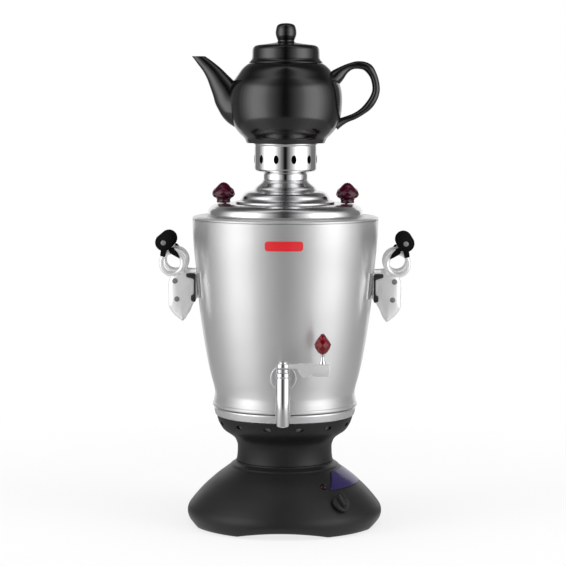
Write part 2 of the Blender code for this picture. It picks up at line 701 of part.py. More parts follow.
def make_skirt(looks):
    """Add the hollow skirt with its arches, screw bosses, inlet housing and holes."""
    outer = skirt_outline()
    web_low = WEB_LOW_LEVEL - SKIRT_LEVEL
    web_top = WEB_TOP_LEVEL - SKIRT_LEVEL
    inner = thinned(moved_in(outer, SKIRT_WALL))
    inner[0] = (inner[0][0], 0)
    inner = part_of(inner, 0, web_low)
    recess = NECK_RADIUS - SKIRT_WALL
    bolt_hole = hole_radius(TIE_BOLT_RADIUS, ROUND_STEPS)
    loop = outer + [(recess, SKIRT_HEIGHT), (recess, web_top), (bolt_hole, web_top),
                    (bolt_hole, web_low)] + inner[::-1]
    skirt = turned("base_skirt", loop, looks["plastic"])
    skirt.location = (0, 0, SKIRT_LEVEL)
    cut(skirt, make_arch("arch front and back", 0), make_arch("arch left and right", QUARTER_TURN))
    form = turned("boss limit", [(0, 0)] + moved_in(outer, SKIRT_WALL / 2) + [(0, SKIRT_HEIGHT)])
    form.location = (0, 0, SKIRT_LEVEL)
    for number, (x, y) in enumerate(foot_places(), 1):
        boss = rod(f"screw boss {number}", SCREW_BOSS_RADIUS, SCREW_BOSS_LEVEL, WEB_LOW_LEVEL)
        boss.location = (x, y, 0)
        keep_inside(boss, form)
        fuse(skirt, boss)
    housing = box("inlet housing", (-HOUSING_WIDTH / 2, HOUSING_BACK - HOUSING_DEPTH, HOUSING_LEVEL),
                  (HOUSING_WIDTH / 2, HOUSING_BACK, HOUSING_LEVEL + HOUSING_HEIGHT))
    soften(housing, HOUSING_EDGE_RADIUS)
    fuse(skirt, housing)
    tunnel_x = INLET_WIDTH / 2 + FIT
    tunnel_z = INLET_HEIGHT / 2 + FIT
    middle = HOUSING_LEVEL + HOUSING_HEIGHT / 2
    tunnel = box("inlet tunnel", (-tunnel_x, HOUSING_BACK - HOUSING_DEPTH - OVERRUN, middle - tunnel_z),
                 (tunnel_x, HOUSING_BACK + OVERRUN, middle + tunnel_z))
    cut(skirt, tunnel)
    for number, (x, y) in enumerate(foot_places(), 1):
        hole = rod(f"screw hole {number}", hole_radius(BASE_SCREW_RADIUS, SMALL_STEPS),
                   SCREW_BOSS_LEVEL - OVERRUN, SCREW_BOSS_LEVEL + BASE_SCREW_GRIP + FIT)
        hole.location = (x, y, 0)
        cut(skirt, hole)
    for number, side in enumerate((-1, 1), 1):
        hole = rod(f"wire hole {number}", WIRE_HOLE_RADIUS, WEB_LOW_LEVEL - OVERRUN,
                   WEB_TOP_LEVEL + OVERRUN)
        hole.location = (side * WIRE_HOLE_CIRCLE_RADIUS, 0, 0)
        cut(skirt, hole)
    return skirt


def make_inlet(looks):
    """Add the mains inlet: a flanged body with a socket and three blades in it."""
    middle = HOUSING_LEVEL + HOUSING_HEIGHT / 2
    half_x = INLET_WIDTH / 2
    half_z = INLET_HEIGHT / 2
    front = HOUSING_BACK + FIT
    back = front + INLET_FLANGE_THICKNESS
    body = box("power_inlet", (-half_x, front - INLET_DEPTH, middle - half_z),
               (half_x, front + INLET_FLANGE_THICKNESS / 2, middle + half_z), looks["plastic"])
    flange_x = half_x + INLET_FLANGE_MARGIN
    flange_z = half_z + INLET_FLANGE_MARGIN
    flange = box("inlet flange", (-flange_x, front, middle - flange_z),
                 (flange_x, back, middle + flange_z))
    fuse(body, flange)
    socket_x = half_x - INLET_WALL
    socket_z = half_z - INLET_WALL
    floor = back - INLET_SOCKET_DEPTH
    cut(body, box("inlet socket", (-socket_x, floor, middle - socket_z),
                  (socket_x, back + OVERRUN, middle + socket_z)))
    rises = (-INLET_EARTH_RISE / 2, INLET_EARTH_RISE / 2, -INLET_EARTH_RISE / 2)
    blade_x = INLET_PIN_WIDTH / 2
    blade_z = INLET_PIN_HEIGHT / 2
    for number, rise in enumerate(rises):
        x = (number - 1) * INLET_PIN_PITCH
        z = middle + rise
        blade = box(f"inlet blade {number}", (x - blade_x, floor - INLET_WALL / 2, z - blade_z),
                    (x + blade_x, floor + INLET_PIN_LENGTH, z + blade_z))
        fuse(body, blade)


def make_thermostat(looks, skirt):
    """Add the thermostat, its spindle and its knob on an axis square to the slope."""
    axis = slope_axis("thermostat axis", THERMOSTAT_AZIMUTH, THERMOSTAT_LEVEL)
    seat_face = -SKIRT_WALL - THERMOSTAT_SEAT_HEIGHT
    face = seat_face - FIT
    bore = hole_radius(SPINDLE_RADIUS, MEDIUM_STEPS)
    bush_top = KNOB_CLEARANCE - FIT
    depth = face - SPINDLE_HOUSED_LENGTH
    body = turned("thermostat_body", [
        (0, face - THERMOSTAT_DEPTH), (THERMOSTAT_RADIUS, face - THERMOSTAT_DEPTH),
        (THERMOSTAT_RADIUS, face), (THERMOSTAT_BUSH_RADIUS, face), (THERMOSTAT_BUSH_RADIUS, bush_top),
        (bore, bush_top), (bore, depth), (0, depth)], looks["plastic"], MEDIUM_STEPS)
    seat = rod("thermostat seat", THERMOSTAT_SEAT_RADIUS, seat_face, -SKIRT_WALL / 2,
               steps=MEDIUM_STEPS)
    hole = rod("bush hole", hole_radius(THERMOSTAT_BUSH_RADIUS, MEDIUM_STEPS),
               seat_face - OVERRUN, OVERRUN, steps=MEDIUM_STEPS)
    fuse(skirt, seat)
    cut(skirt, hole)
    spindle_top = KNOB_CLEARANCE + KNOB_HEIGHT - KNOB_ROOF_THICKNESS - FIT
    spindle = rod("thermostat_spindle", SPINDLE_RADIUS, depth + FIT, spindle_top, looks["brass"],
                  MEDIUM_STEPS)
    knob = turned("thermostat_knob", [
        (0, KNOB_CLEARANCE), (KNOB_RADIUS, KNOB_CLEARANCE),
        (KNOB_RADIUS, KNOB_CLEARANCE + KNOB_SKIRT_HEIGHT / 2),
        (KNOB_RADIUS - KNOB_SKIRT_HEIGHT / 4, KNOB_CLEARANCE + KNOB_SKIRT_HEIGHT),
        (0, KNOB_CLEARANCE + KNOB_SKIRT_HEIGHT)], looks["plastic"], MEDIUM_STEPS)
    reach = KNOB_RADIUS - KNOB_SKIRT_HEIGHT / 4
    grip = box("knob grip", (-reach, -KNOB_GRIP_THICKNESS / 2, KNOB_CLEARANCE + KNOB_SKIRT_HEIGHT / 2),
               (reach, KNOB_GRIP_THICKNESS / 2, KNOB_CLEARANCE + KNOB_HEIGHT))
    socket = rod("knob socket", bore, KNOB_CLEARANCE - OVERRUN, spindle_top + FIT, steps=MEDIUM_STEPS)
    fuse(knob, grip)
    cut(knob, socket)
    place_on(axis, body, seat, hole, spindle, knob, grip, socket)


def make_panel(looks):
    """Add the glossy dial panel, a curved strip on the skirt's slope."""
    run = part_of(skirt_outline(), PANEL_LOW_LEVEL - SKIRT_LEVEL, PANEL_HIGH_LEVEL - SKIRT_LEVEL)
    loop = moved_in(run, -FIT - PANEL_THICKNESS) + moved_in(run, -FIT)[::-1]
    panel = turned("dial_panel", loop, looks["panel"], first=PANEL_FIRST_STEP, count=PANEL_STEP_COUNT)
    panel.location = (0, 0, SKIRT_LEVEL)


def make_lamp(looks, skirt):
    """Add the pilot lamp, a small dome with a stem through the skirt."""
    axis = slope_axis("lamp axis", LAMP_AZIMUTH, LAMP_LEVEL)
    seat = 2 * FIT
    lamp = turned("pilot_lamp", [
        (0, -LAMP_STEM_LENGTH), (LAMP_STEM_RADIUS, -LAMP_STEM_LENGTH), (LAMP_STEM_RADIUS, seat),
        (LAMP_RADIUS, seat), (LAMP_RADIUS, seat + LAMP_DOME_HEIGHT / 3),
        (LAMP_RADIUS / 2, seat + LAMP_DOME_HEIGHT), (0, seat + LAMP_DOME_HEIGHT)],
        looks["ruby"], SMALL_STEPS)
    hole = rod("lamp hole", hole_radius(LAMP_STEM_RADIUS, SMALL_STEPS), -LAMP_STEM_LENGTH - OVERRUN,
               OVERRUN)
    cut(skirt, hole)
    place_on(axis, lamp, hole)


def make_collar(looks):
    """Add the flared collar with its spigot and its ring of oval vents."""
    outer = scaled(COLLAR_SHARES, COLLAR_WAIST_RADIUS, COLLAR_RADIUS, COLLAR_HEIGHT)
    spigot = NECK_RADIUS - SKIRT_WALL - FIT
    inner = thinned(moved_in(outer, COLLAR_WALL))
    inner = part_of(inner[:-1] + [(inner[-1][0], COLLAR_HEIGHT)], SPIGOT_DEPTH, COLLAR_HEIGHT)
    bottom = -SPIGOT_DEPTH
    bore = inner[0][0] - COLLAR_WALL
    loop = outer + inner[::-1] + [(bore, 0), (bore, bottom), (spigot, bottom), (spigot, 0)]
    collar = turned("base_collar", loop, looks["plastic"])
    collar.location = (0, 0, COLLAR_LEVEL)
    level = VENT_LEVEL_SHARE * COLLAR_HEIGHT
    radius, (outward, upward) = at_level(outer, level)
    for number in range(VENT_COUNT):
        azimuth = -QUARTER_TURN + (number + 0.5) * FULL_TURN / VENT_COUNT
        vent = rod(f"collar vent {number + 1}", VENT_HALF_HEIGHT, -COLLAR_WALL - OVERRUN, OVERRUN)
        vent.scale = (1, VENT_HALF_WIDTH / VENT_HALF_HEIGHT, 1)
        vent.location = (radius * math.cos(azimuth), radius * math.sin(azimuth), COLLAR_LEVEL + level)
        vent.rotation_euler = (0, math.atan2(outward, upward), azimuth)
        cut(collar, vent)


def make_tie_bolt(looks):
    """Add the bolt that pulls the vessel down on to the collar and the skirt."""
    head_top = WEB_LOW_LEVEL - FIT
    head_low = head_top - TIE_BOLT_HEAD_HEIGHT
    tip = VESSEL_LEVEL - BOSS_ROOF - TIE_BOLT_TIP_CLEARANCE
    bolt = rod("tie_bolt", TIE_BOLT_HEAD_RADIUS, head_low, head_top, looks["zinc"], 6)
    fuse(bolt, rod("tie bolt shank", TIE_BOLT_RADIUS, head_top - TIE_BOLT_HEAD_HEIGHT / 2, tip,
                   steps=MEDIUM_STEPS))


def make_band(looks):
    """Add the bright band that the vessel's foot rests on."""
    middle = mix(BAND_LOW_RADIUS, BAND_HIGH_RADIUS, BAND_MIDDLE_SHARE)
    band = turned("band_ring", [
        (BAND_LOW_RADIUS, 0), (middle, BAND_HEIGHT / 2), (BAND_HIGH_RADIUS, BAND_HEIGHT),
        (BAND_HIGH_RADIUS - BAND_WIDTH, BAND_HEIGHT), (BAND_LOW_RADIUS - BAND_WIDTH, 0)],
        looks["chrome"])
    band.location = (0, 0, BAND_LEVEL)


def vessel_side():
    """Return the outline of the vessel's side above its waist."""
    height = VESSEL_HEIGHT - VESSEL_WAIST_LEVEL
    side = smooth(scaled(VESSEL_SHARES, VESSEL_WAIST_RADIUS, VESSEL_RADIUS, height), CURVE_STEPS)
    return [(radius, VESSEL_WAIST_LEVEL + level) for radius, level in side]


def wall_flat(level):
    """Return how far the middle of the vessel's facets stands from the axis at a level."""
    return at_level(vessel_side(), level - VESSEL_LEVEL)[0] * math.cos(math.pi / ROUND_STEPS)


def vessel_form(name, distance):
    """Add a solid guide as large as the vessel's side, moved out by distance."""
    side = moved_in(vessel_side(), -distance)
    low = (side[0][0], 0)
    form = turned(name, [(0, 0), low] + side + [(0, side[-1][1])])
    form.location = (0, 0, VESSEL_LEVEL)
    return form


def wall_forms():
    """Return the guides that bound the pieces on the vessel's wall, by what each one bounds."""
    return {
        "inside": vessel_form("form inside the wall", -VESSEL_WALL - FIT),
        "outside": vessel_form("form outside the wall", FIT),
        "gasket": vessel_form("form of the gasket", FIT + GASKET_THICKNESS),
        "casting": vessel_form("form under the casting", GASKET_THICKNESS + 2 * FIT),
    }


def make_vessel(looks):
    """Add the vessel: a thin spun wall with a bead, a floor and a threaded boss."""
    side = vessel_side()
    inner = moved_in(side, VESSEL_WALL)
    inner[-1] = (inner[-1][0], VESSEL_HEIGHT)
    floor = (inner[0][0], VESSEL_WALL)
    bore = hole_radius(TIE_BOLT_RADIUS, ROUND_STEPS)
    loop = [(0, VESSEL_WALL), floor] + inner + side[::-1] + [
        (VESSEL_BEAD_RADIUS, VESSEL_BEAD_HIGH_LEVEL), (VESSEL_BEAD_RADIUS, VESSEL_BEAD_LOW_LEVEL),
        (VESSEL_FOOT_RADIUS, 0), (BOSS_RADIUS, 0), (BOSS_RADIUS, -BOSS_DEPTH), (bore, -BOSS_DEPTH),
        (bore, -BOSS_ROOF), (0, -BOSS_ROOF)]
    vessel = turned("vessel_body", loop, looks["steel"])
    vessel.location = (0, 0, VESSEL_LEVEL)
    return vessel


def make_shoulder(looks):
    """Add the ring that closes the vessel's top and leaves the mouth open."""
    sheet = SHOULDER_THICKNESS
    lip = VESSEL_RADIUS - VESSEL_WALL - SHOULDER_LIP_CLEARANCE
    edge = VESSEL_RADIUS - SHOULDER_EDGE_WIDTH
    ring = turned("shoulder_ring", [
        (VESSEL_RADIUS, 0), (VESSEL_RADIUS, SHOULDER_CROWN_HEIGHT / 2), (edge, SHOULDER_CROWN_HEIGHT),
        (SHOULDER_SEAT_RADIUS, SHOULDER_CROWN_HEIGHT), (SHOULDER_SEAT_RADIUS, SHOULDER_SEAT_HEIGHT),
        (MOUTH_RADIUS, SHOULDER_SEAT_HEIGHT), (MOUTH_RADIUS, SHOULDER_SEAT_HEIGHT - sheet),
        (SHOULDER_SEAT_RADIUS + sheet, SHOULDER_SEAT_HEIGHT - sheet),
        (SHOULDER_SEAT_RADIUS + sheet, SHOULDER_CROWN_HEIGHT - sheet),
        (lip - sheet, SHOULDER_CROWN_HEIGHT - sheet), (lip - sheet, -SHOULDER_LIP_DEPTH),
        (lip, -SHOULDER_LIP_DEPTH), (lip, 0)], looks["steel"])
    ring.location = (0, 0, SHOULDER_LEVEL)


def heater_path():
    """Return the points of the heating tube and the radius share at each of them."""
    flange_low = VESSEL_WALL + FIT
    flange_top = flange_low + HEATER_FLANGE_THICKNESS
    leg = [(-HEATER_SLEEVE_LENGTH - HEATER_PIN_LENGTH, HEATER_PIN_SHARE),
           (-HEATER_SLEEVE_LENGTH - STEP_LENGTH, HEATER_PIN_SHARE),
           (-HEATER_SLEEVE_LENGTH, HEATER_SLEEVE_SHARE), (flange_low, HEATER_SLEEVE_SHARE),
           (flange_low + STEP_LENGTH, HEATER_FLANGE_SHARE), (flange_top, HEATER_FLANGE_SHARE),
           (flange_top + STEP_LENGTH, 1)]
    ring = arc((0, 0), HEATER_RING_RADIUS, HEATER_ARC_START,
               math.pi - 2 * HEATER_ARC_START, HEATER_ARC_STEPS)
    bend = mix(HEATER_LEG_OFFSET, HEATER_RING_RADIUS, HEATER_BEND_SHARE)
    low_bend = mix(flange_top, HEATER_RISE, HEATER_BEND_SHARE)
    keys = [(HEATER_LEG_OFFSET, 0, flange_top + STEP_LENGTH), (HEATER_LEG_OFFSET, 0, low_bend),
            (bend, 0, HEATER_RISE)]
    keys += [(x, y, HEATER_RISE) for x, y in ring]
    keys += [(-x, y, z) for x, y, z in keys[2::-1]]
    loop = smooth(keys, CURVE_STEPS)
    right = [(HEATER_LEG_OFFSET, 0, z) for z, share in leg[:-1]]
    left = [(-x, y, z) for x, y, z in right[::-1]]
    shares = [share for z, share in leg[:-1]]
    return right + loop + left, shares + [1] * len(loop) + shares[::-1]


def make_heater(looks, vessel):
    """Add the heating element through the vessel's floor, with a nut on each sleeve."""
    points, shares = heater_path()
    heater = piped("heating_element", points, HEATER_TUBE_RADIUS, looks["steel"],
                   HEATER_BEVEL_RESOLUTION, shares)
    heater.location = (0, 0, VESSEL_LEVEL)
    sleeve = hole_radius(HEATER_SLEEVE_SHARE * HEATER_TUBE_RADIUS, MEDIUM_STEPS)
    top = -FIT
    low = top - HEATER_NUT_HEIGHT
    for word, side in (("left", -1), ("right", 1)):
        place = (side * HEATER_LEG_OFFSET, 0, VESSEL_LEVEL)
        hole = rod(f"heater hole {word}", sleeve, top - OVERRUN, VESSEL_WALL + OVERRUN,
                   steps=MEDIUM_STEPS)
        hole.location = place
        cut(vessel, hole)
        nut = turned(f"heater_nut_{word}", [
            (sleeve, low), (HEATER_NUT_RADIUS, low), (HEATER_NUT_RADIUS, top), (sleeve, top)],
            looks["brass"], MEDIUM_STEPS)
        nut.location = place


def make_wires(looks):
    """Add the three wires that join the inlet, the thermostat and the heating element."""
    pitch = INLET_PIN_PITCH
    inlet_y = HOUSING_BACK - INLET_DEPTH - WIRE_END_GAP
    inlet_z = HOUSING_LEVEL + HOUSING_HEIGHT / 2
    bend_y = inlet_y - WIRE_STRAIGHT_LENGTH
    heater_x = HEATER_LEG_OFFSET
    heater_z = VESSEL_LEVEL - HEATER_SLEEVE_LENGTH - HEATER_PIN_LENGTH - FIT
    hole = WIRE_HOLE_CIRCLE_RADIUS
    under_web = WEB_LOW_LEVEL - WIRE_HOLE_RADIUS
    over_web = WEB_TOP_LEVEL + WIRE_HOLE_RADIUS
    stub = WIRE_END_GAP + WIRE_STUB_LENGTH
    routes = {
        "wire_inlet_to_heater": [
            (-pitch, inlet_y, inlet_z), (-pitch, bend_y, inlet_z), (-hole, hole, inlet_z),
            (-hole, 0, under_web), (-hole, 0, over_web),
            (-heater_x, 0, heater_z - WIRE_STRAIGHT_LENGTH), (-heater_x, 0, heater_z)],
        "wire_thermostat_to_heater": [
            thermostat_back(WIRE_END_GAP, -WIRE_SIDE_STEP), thermostat_back(stub, -WIRE_SIDE_STEP),
            (hole, -hole, inlet_z), (hole, 0, under_web), (hole, 0, over_web),
            (heater_x, 0, heater_z - WIRE_STRAIGHT_LENGTH), (heater_x, 0, heater_z)],
        "wire_inlet_to_thermostat": [
            (pitch, inlet_y, inlet_z), (pitch, bend_y, inlet_z), (WIRE_DETOUR_RADIUS, 0, inlet_z),
            thermostat_back(stub, WIRE_SIDE_STEP), thermostat_back(WIRE_END_GAP, WIRE_SIDE_STEP)],
    }
    for name, keys in routes.items():
        path = keys[:1] + smooth(keys[1:-1], CURVE_STEPS) + keys[-1:]
        piped(name, path, WIRE_RADIUS, looks["copper"], WIRE_BEVEL_RESOLUTION)


def thermostat_back(gap, aside):
    """Return a point a gap behind the thermostat body, stepped aside from its middle."""
    radius, (outward, upward) = at_level(skirt_outline(), THERMOSTAT_LEVEL)
    depth = SKIRT_WALL + THERMOSTAT_SEAT_HEIGHT + FIT + THERMOSTAT_DEPTH + gap
    reach = radius - outward * depth
    along = math.cos(THERMOSTAT_AZIMUTH)
    across = math.sin(THERMOSTAT_AZIMUTH)
    return (reach * along - aside * across, reach * across + aside * along,
            SKIRT_LEVEL + THERMOSTAT_LEVEL - upward * depth)


def radial(thing, azimuth, place):
    """Lay a piece drawn along Z so that its +Z points outward at an azimuth."""
    thing.rotation_euler = (0, QUARTER_TURN, azimuth)
    thing.location = place


def make_tap(looks, vessel, forms):
    """Add the fixed pieces of the tap: body, rosette, washer and nut."""
    axis_place = (0, -TAP_REACH, TAP_LEVEL)
    body = turned("tap_body", [
        (0, -TAP_BELOW), (TAP_TIP_RADIUS, -TAP_BELOW), (TAP_RADIUS, TAP_NOSE_HEIGHT - TAP_BELOW),
        (TAP_RADIUS, TAP_ABOVE), (0, TAP_ABOVE)], looks["chrome"], MEDIUM_STEPS)
    body.location = axis_place
    wall = wall_flat(TAP_LEVEL)
    inside = wall - SHANK_INSIDE_LENGTH
    shank = rod("tap shank", SHANK_RADIUS, inside, TAP_REACH, steps=MEDIUM_STEPS)
    radial(shank, -QUARTER_TURN, (0, 0, TAP_LEVEL))
    fuse(body, shank)
    port = rod("shank bore", SHANK_BORE_RADIUS, inside - OVERRUN, TAP_REACH)
    radial(port, -QUARTER_TURN, (0, 0, TAP_LEVEL))
    spout = rod("spout bore", SPOUT_BORE_RADIUS, -TAP_BELOW - OVERRUN, 0, steps=MEDIUM_STEPS)
    spout.location = axis_place
    seat = rod("seat bore", hole_radius(PLUG_RADIUS, MEDIUM_STEPS), -PLUG_BELOW_PORT - FIT,
               TAP_ABOVE + OVERRUN, steps=MEDIUM_STEPS)
    seat.location = axis_place
    cut(body, port, spout, seat)
    hole = rod("tap hole", hole_radius(SHANK_RADIUS, MEDIUM_STEPS), inside, wall + OVERRUN,
               steps=MEDIUM_STEPS)
    radial(hole, -QUARTER_TURN, (0, 0, TAP_LEVEL))
    cut(vessel, hole)
    bore = hole_radius(SHANK_RADIUS, MEDIUM_STEPS)
    rim = wall + ROSETTE_THICKNESS * ROSETTE_RIM_SHARE
    front = wall + ROSETTE_THICKNESS
    rosette = turned("tap_rosette", [
        (bore, wall - OVERRUN), (ROSETTE_RADIUS, wall - OVERRUN), (ROSETTE_RADIUS, rim),
        (mix(bore, ROSETTE_RADIUS, ROSETTE_FACE_SHARE), front), (bore, front)],
        looks["chrome"], MEDIUM_STEPS)
    radial(rosette, -QUARTER_TURN, (0, 0, TAP_LEVEL))
    cut(rosette, forms["outside"])
    inner_wall = wall - VESSEL_WALL
    washer = turned("tap_washer", [
        (bore, inner_wall - 2 * WASHER_THICKNESS), (WASHER_RADIUS, inner_wall - 2 * WASHER_THICKNESS),
        (WASHER_RADIUS, wall), (bore, wall)], looks["rubber"], MEDIUM_STEPS)
    radial(washer, -QUARTER_TURN, (0, 0, TAP_LEVEL))
    keep_inside(washer, forms["inside"])
    nut_front = inner_wall - 2 * WASHER_THICKNESS - FIT
    nut_back = nut_front - TAP_NUT_THICKNESS
    nut = turned("tap_nut", [
        (bore, nut_back), (TAP_NUT_RADIUS, nut_back), (TAP_NUT_RADIUS, nut_front), (bore, nut_front)],
        looks["brass"], MEDIUM_STEPS)
    radial(nut, -QUARTER_TURN, (0, 0, TAP_LEVEL))


def gem_outline(radius, height):
    """Return the outline of a faceted knob, from its foot to its point."""
    return [(radius * across, height * up) for across, up in GEM_SHARES] + [(0, height)]


def make_tap_key(looks):
    """Add the plug, lever, cap and knob of the tap, and the gland that the plug's stem turns in."""
    axis = add_empty("tap axis", (0, -TAP_REACH, TAP_LEVEL))
    gland_low = TAP_ABOVE + FIT
    gland_top = gland_low + GLAND_HEIGHT
    hub_low = gland_top + FIT
    hub_top = hub_low + HUB_HEIGHT
    stem_top = hub_top + CAP_HEIGHT / 2
    plug = turned("tap_plug", [
        (0, -PLUG_BELOW_PORT), (PLUG_RADIUS, -PLUG_BELOW_PORT), (PLUG_RADIUS, TAP_ABOVE),
        (STEM_RADIUS, TAP_ABOVE), (STEM_RADIUS, stem_top), (0, stem_top)],
        looks["brass"], MEDIUM_STEPS)
    down_port = rod("plug port down", PLUG_PORT_RADIUS, -PLUG_BELOW_PORT - OVERRUN, 0)
    side_port = rod("plug port sideways", PLUG_PORT_RADIUS, 0, PLUG_RADIUS + OVERRUN)
    side_port.rotation_euler = (0, -QUARTER_TURN, 0)
    side_port.location = (PLUG_PORT_RADIUS / 2, 0, 0)
    cut(plug, down_port, side_port)
    bore = hole_radius(STEM_RADIUS, MEDIUM_STEPS)
    groove = GLAND_RADIUS - GLAND_GROOVE_DEPTH
    groove_low, groove_middle, groove_top = (
        mix(gland_low, gland_top, share) for share in GLAND_GROOVE_SHARES)
    gland = turned("tap_gland", [
        (bore, gland_low), (GLAND_RADIUS, gland_low), (GLAND_RADIUS, groove_low),
        (groove, groove_middle), (GLAND_RADIUS, groove_top), (GLAND_RADIUS, gland_top),
        (bore, gland_top)], looks["chrome"], MEDIUM_STEPS)
    lever = turned("tap_lever", [
        (bore, hub_low), (HUB_RADIUS, hub_low), (HUB_RADIUS, hub_top), (bore, hub_top)],
        looks["chrome"], MEDIUM_STEPS)
    root = STEM_RADIUS + 2 * FIT
    arm_outline = [(mix(root, LEVER_LENGTH, across), hub_top + LEVER_DEPTH * up)
                   for across, up in LEVER_SHARES]
    arm = extruded("lever arm", arm_outline, -LEVER_THICKNESS / 2, LEVER_THICKNESS / 2)
    fuse(lever, arm)
    lever_bore = rod("lever bore", bore, hub_low - OVERRUN, hub_top + OVERRUN, steps=MEDIUM_STEPS)
    cut(lever, lever_bore)
    cap_low = hub_top + FIT
    cap = turned("tap_cap", [
        (0, stem_top + FIT), (bore, stem_top + FIT), (bore, cap_low), (CAP_RADIUS, cap_low),
        (CAP_RADIUS, cap_low + CAP_HEIGHT / 2), (CAP_RADIUS / 2, cap_low + CAP_HEIGHT),
        (0, cap_low + CAP_HEIGHT)], looks["chrome"], MEDIUM_STEPS)
    knob_low = hub_top + FIT
    gem = gem_outline(TAP_KNOB_RADIUS, TAP_KNOB_HEIGHT)
    stem = [(0, 0), (TAP_KNOB_RADIUS * GEM_SHARES[0][0] / 2, 0)]
    stem += [(radius, TAP_KNOB_STEM_HEIGHT + level) for radius, level in gem]
    knob = turned("tap_knob", stem, looks["ruby"], GEM_SIDES)
    knob.location = (TAP_KNOB_OFFSET, 0, knob_low)
    place_on(axis, plug, down_port, side_port, gland, lever, arm, lever_bore, cap, knob)


def lid_outline():
    """Return the outer outline of the stepped lid, from its brim up to its top."""
    return scaled(LID_SHARES, LID_TOP_RADIUS, LID_RADIUS, LID_HEIGHT)


def make_lid(looks):
    """Add the stepped lid with its lip inside the mouth, and its two knobs."""
    outer = lid_outline()
    lip = MOUTH_RADIUS - 2 * FIT
    inner = scaled(LID_INSIDE_SHARES, LID_TOP_RADIUS, LID_RADIUS, LID_HEIGHT)
    under = scaled(LID_UNDER_SHARES, LID_TOP_RADIUS, LID_RADIUS, LID_HEIGHT)
    brim = under + [(lip, LID_BRIM_SHARE * LID_HEIGHT)]
    loop = outer + [(LID_HOLE_RADIUS, LID_HEIGHT), (LID_HOLE_RADIUS, LID_HEIGHT - LID_SHEET)]
    loop += inner[::-1]
    loop += [(lip - LID_SHEET, inner[0][1]), (lip - LID_SHEET, -LID_LIP_DEPTH), (lip, -LID_LIP_DEPTH)]
    loop += brim[::-1]
    lid = turned("lid", loop, looks["chrome"])
    lid.location = (0, 0, LID_LEVEL)
    return lid


def make_lid_knobs(looks, lid):
    """Add the two faceted lid knobs, each held by a screw from under the lid."""
    outer = lid_outline()
    crest = max(level for radius, level in outer if radius > LID_KNOB_OFFSET - LID_KNOB_RADIUS)
    seat = LID_LEVEL + crest + FIT
    head_top = -screw_depth(outer, crest)
    bore = hole_radius(LID_KNOB_SCREW_RADIUS, SMALL_STEPS)
    gem = [(0, 0)] + gem_outline(LID_KNOB_RADIUS, LID_KNOB_HEIGHT)
    screw = [(0, head_top - LID_KNOB_SCREW_HEAD_HEIGHT),
             (LID_KNOB_SCREW_HEAD_RADIUS, head_top - LID_KNOB_SCREW_HEAD_HEIGHT),
             (LID_KNOB_SCREW_HEAD_RADIUS, head_top), (LID_KNOB_SCREW_RADIUS, head_top),
             (LID_KNOB_SCREW_RADIUS, LID_KNOB_SCREW_LENGTH), (0, LID_KNOB_SCREW_LENGTH)]
    for word, side in (("left", -1), ("right", 1)):
        place = (side * LID_KNOB_OFFSET, 0, seat)
        knob = turned(f"lid_knob_{word}", gem, looks["ruby"], GEM_SIDES)
        knob.location = place
        socket = rod(f"knob thread {word}", bore, -OVERRUN, LID_KNOB_SCREW_LENGTH + FIT)
        socket.location = place
        cut(knob, socket)
        hole = rod(f"lid hole {word}", bore, head_top - OVERRUN, OVERRUN)
        hole.location = place
        cut(lid, hole)
        bolt = turned(f"lid_knob_screw_{word}", screw, looks["zinc"], SMALL_STEPS)
        bolt.location = place


def screw_depth(outer, crest):
    """Return how far below a lid knob's seat the flat head of its screw has to stay."""
    levels = [level for radius, level in outer if abs(radius - LID_KNOB_OFFSET) < LID_KNOB_SCREW_REACH]
    return crest - min(levels) + LID_SHEET + 2 * FIT


def make_neck(looks):
    """Add the short steam tube between the lid and the crown."""
    spigot = LID_HOLE_RADIUS - FIT
    bore = spigot - NECK_TUBE_WALL
    inner = NECK_TUBE_RADIUS - NECK_TUBE_WALL
    tube = turned("neck_tube", [
        (NECK_TUBE_RADIUS, 0), (NECK_TUBE_RADIUS, NECK_TUBE_HEIGHT), (inner, NECK_TUBE_HEIGHT),
        (inner, NECK_TUBE_WALL), (bore, NECK_TUBE_WALL), (bore, -NECK_SPIGOT_LENGTH),
        (spigot, -NECK_SPIGOT_LENGTH), (spigot, 0)], looks["chrome"])
    tube.location = (0, 0, NECK_TUBE_LEVEL)


def make_crown(looks):
    """Add the pierced crown: a cup with a spigot and a ring of oval holes."""
    spigot = NECK_TUBE_RADIUS - NECK_TUBE_WALL - FIT
    bore = spigot - CROWN_WALL
    low_radius = CROWN_RADIUS - CROWN_FLARE
    outer = [(NECK_TUBE_RADIUS, 0), (low_radius, CROWN_CHAMFER_HEIGHT),
             (low_radius, CROWN_HEIGHT - 2 * CROWN_FLARE), (CROWN_RADIUS, CROWN_HEIGHT)]
    inner = [(low_radius - CROWN_WALL, CROWN_HEIGHT),
             (low_radius - CROWN_WALL, CROWN_CHAMFER_HEIGHT + CROWN_WALL), (bore, CROWN_WALL)]
    loop = outer + inner + [(bore, -CROWN_SPIGOT_LENGTH), (spigot, -CROWN_SPIGOT_LENGTH), (spigot, 0)]
    crown = turned("crown_cup", loop, looks["chrome"])
    crown.location = (0, 0, CROWN_LEVEL)
    level = CROWN_LEVEL + CROWN_HOLE_SHARE * CROWN_HEIGHT
    for number in range(CROWN_HOLE_COUNT):
        azimuth = -QUARTER_TURN + (number + 0.5) * FULL_TURN / CROWN_HOLE_COUNT
        hole = rod(f"crown hole {number + 1}", CROWN_HOLE_HALF_WIDTH,
                   low_radius - CROWN_WALL - OVERRUN, low_radius + OVERRUN)
        hole.scale = (CROWN_HOLE_HALF_HEIGHT / CROWN_HOLE_HALF_WIDTH, 1, 1)
        radial(hole, azimuth, (0, 0, level))
        cut(crown, hole)


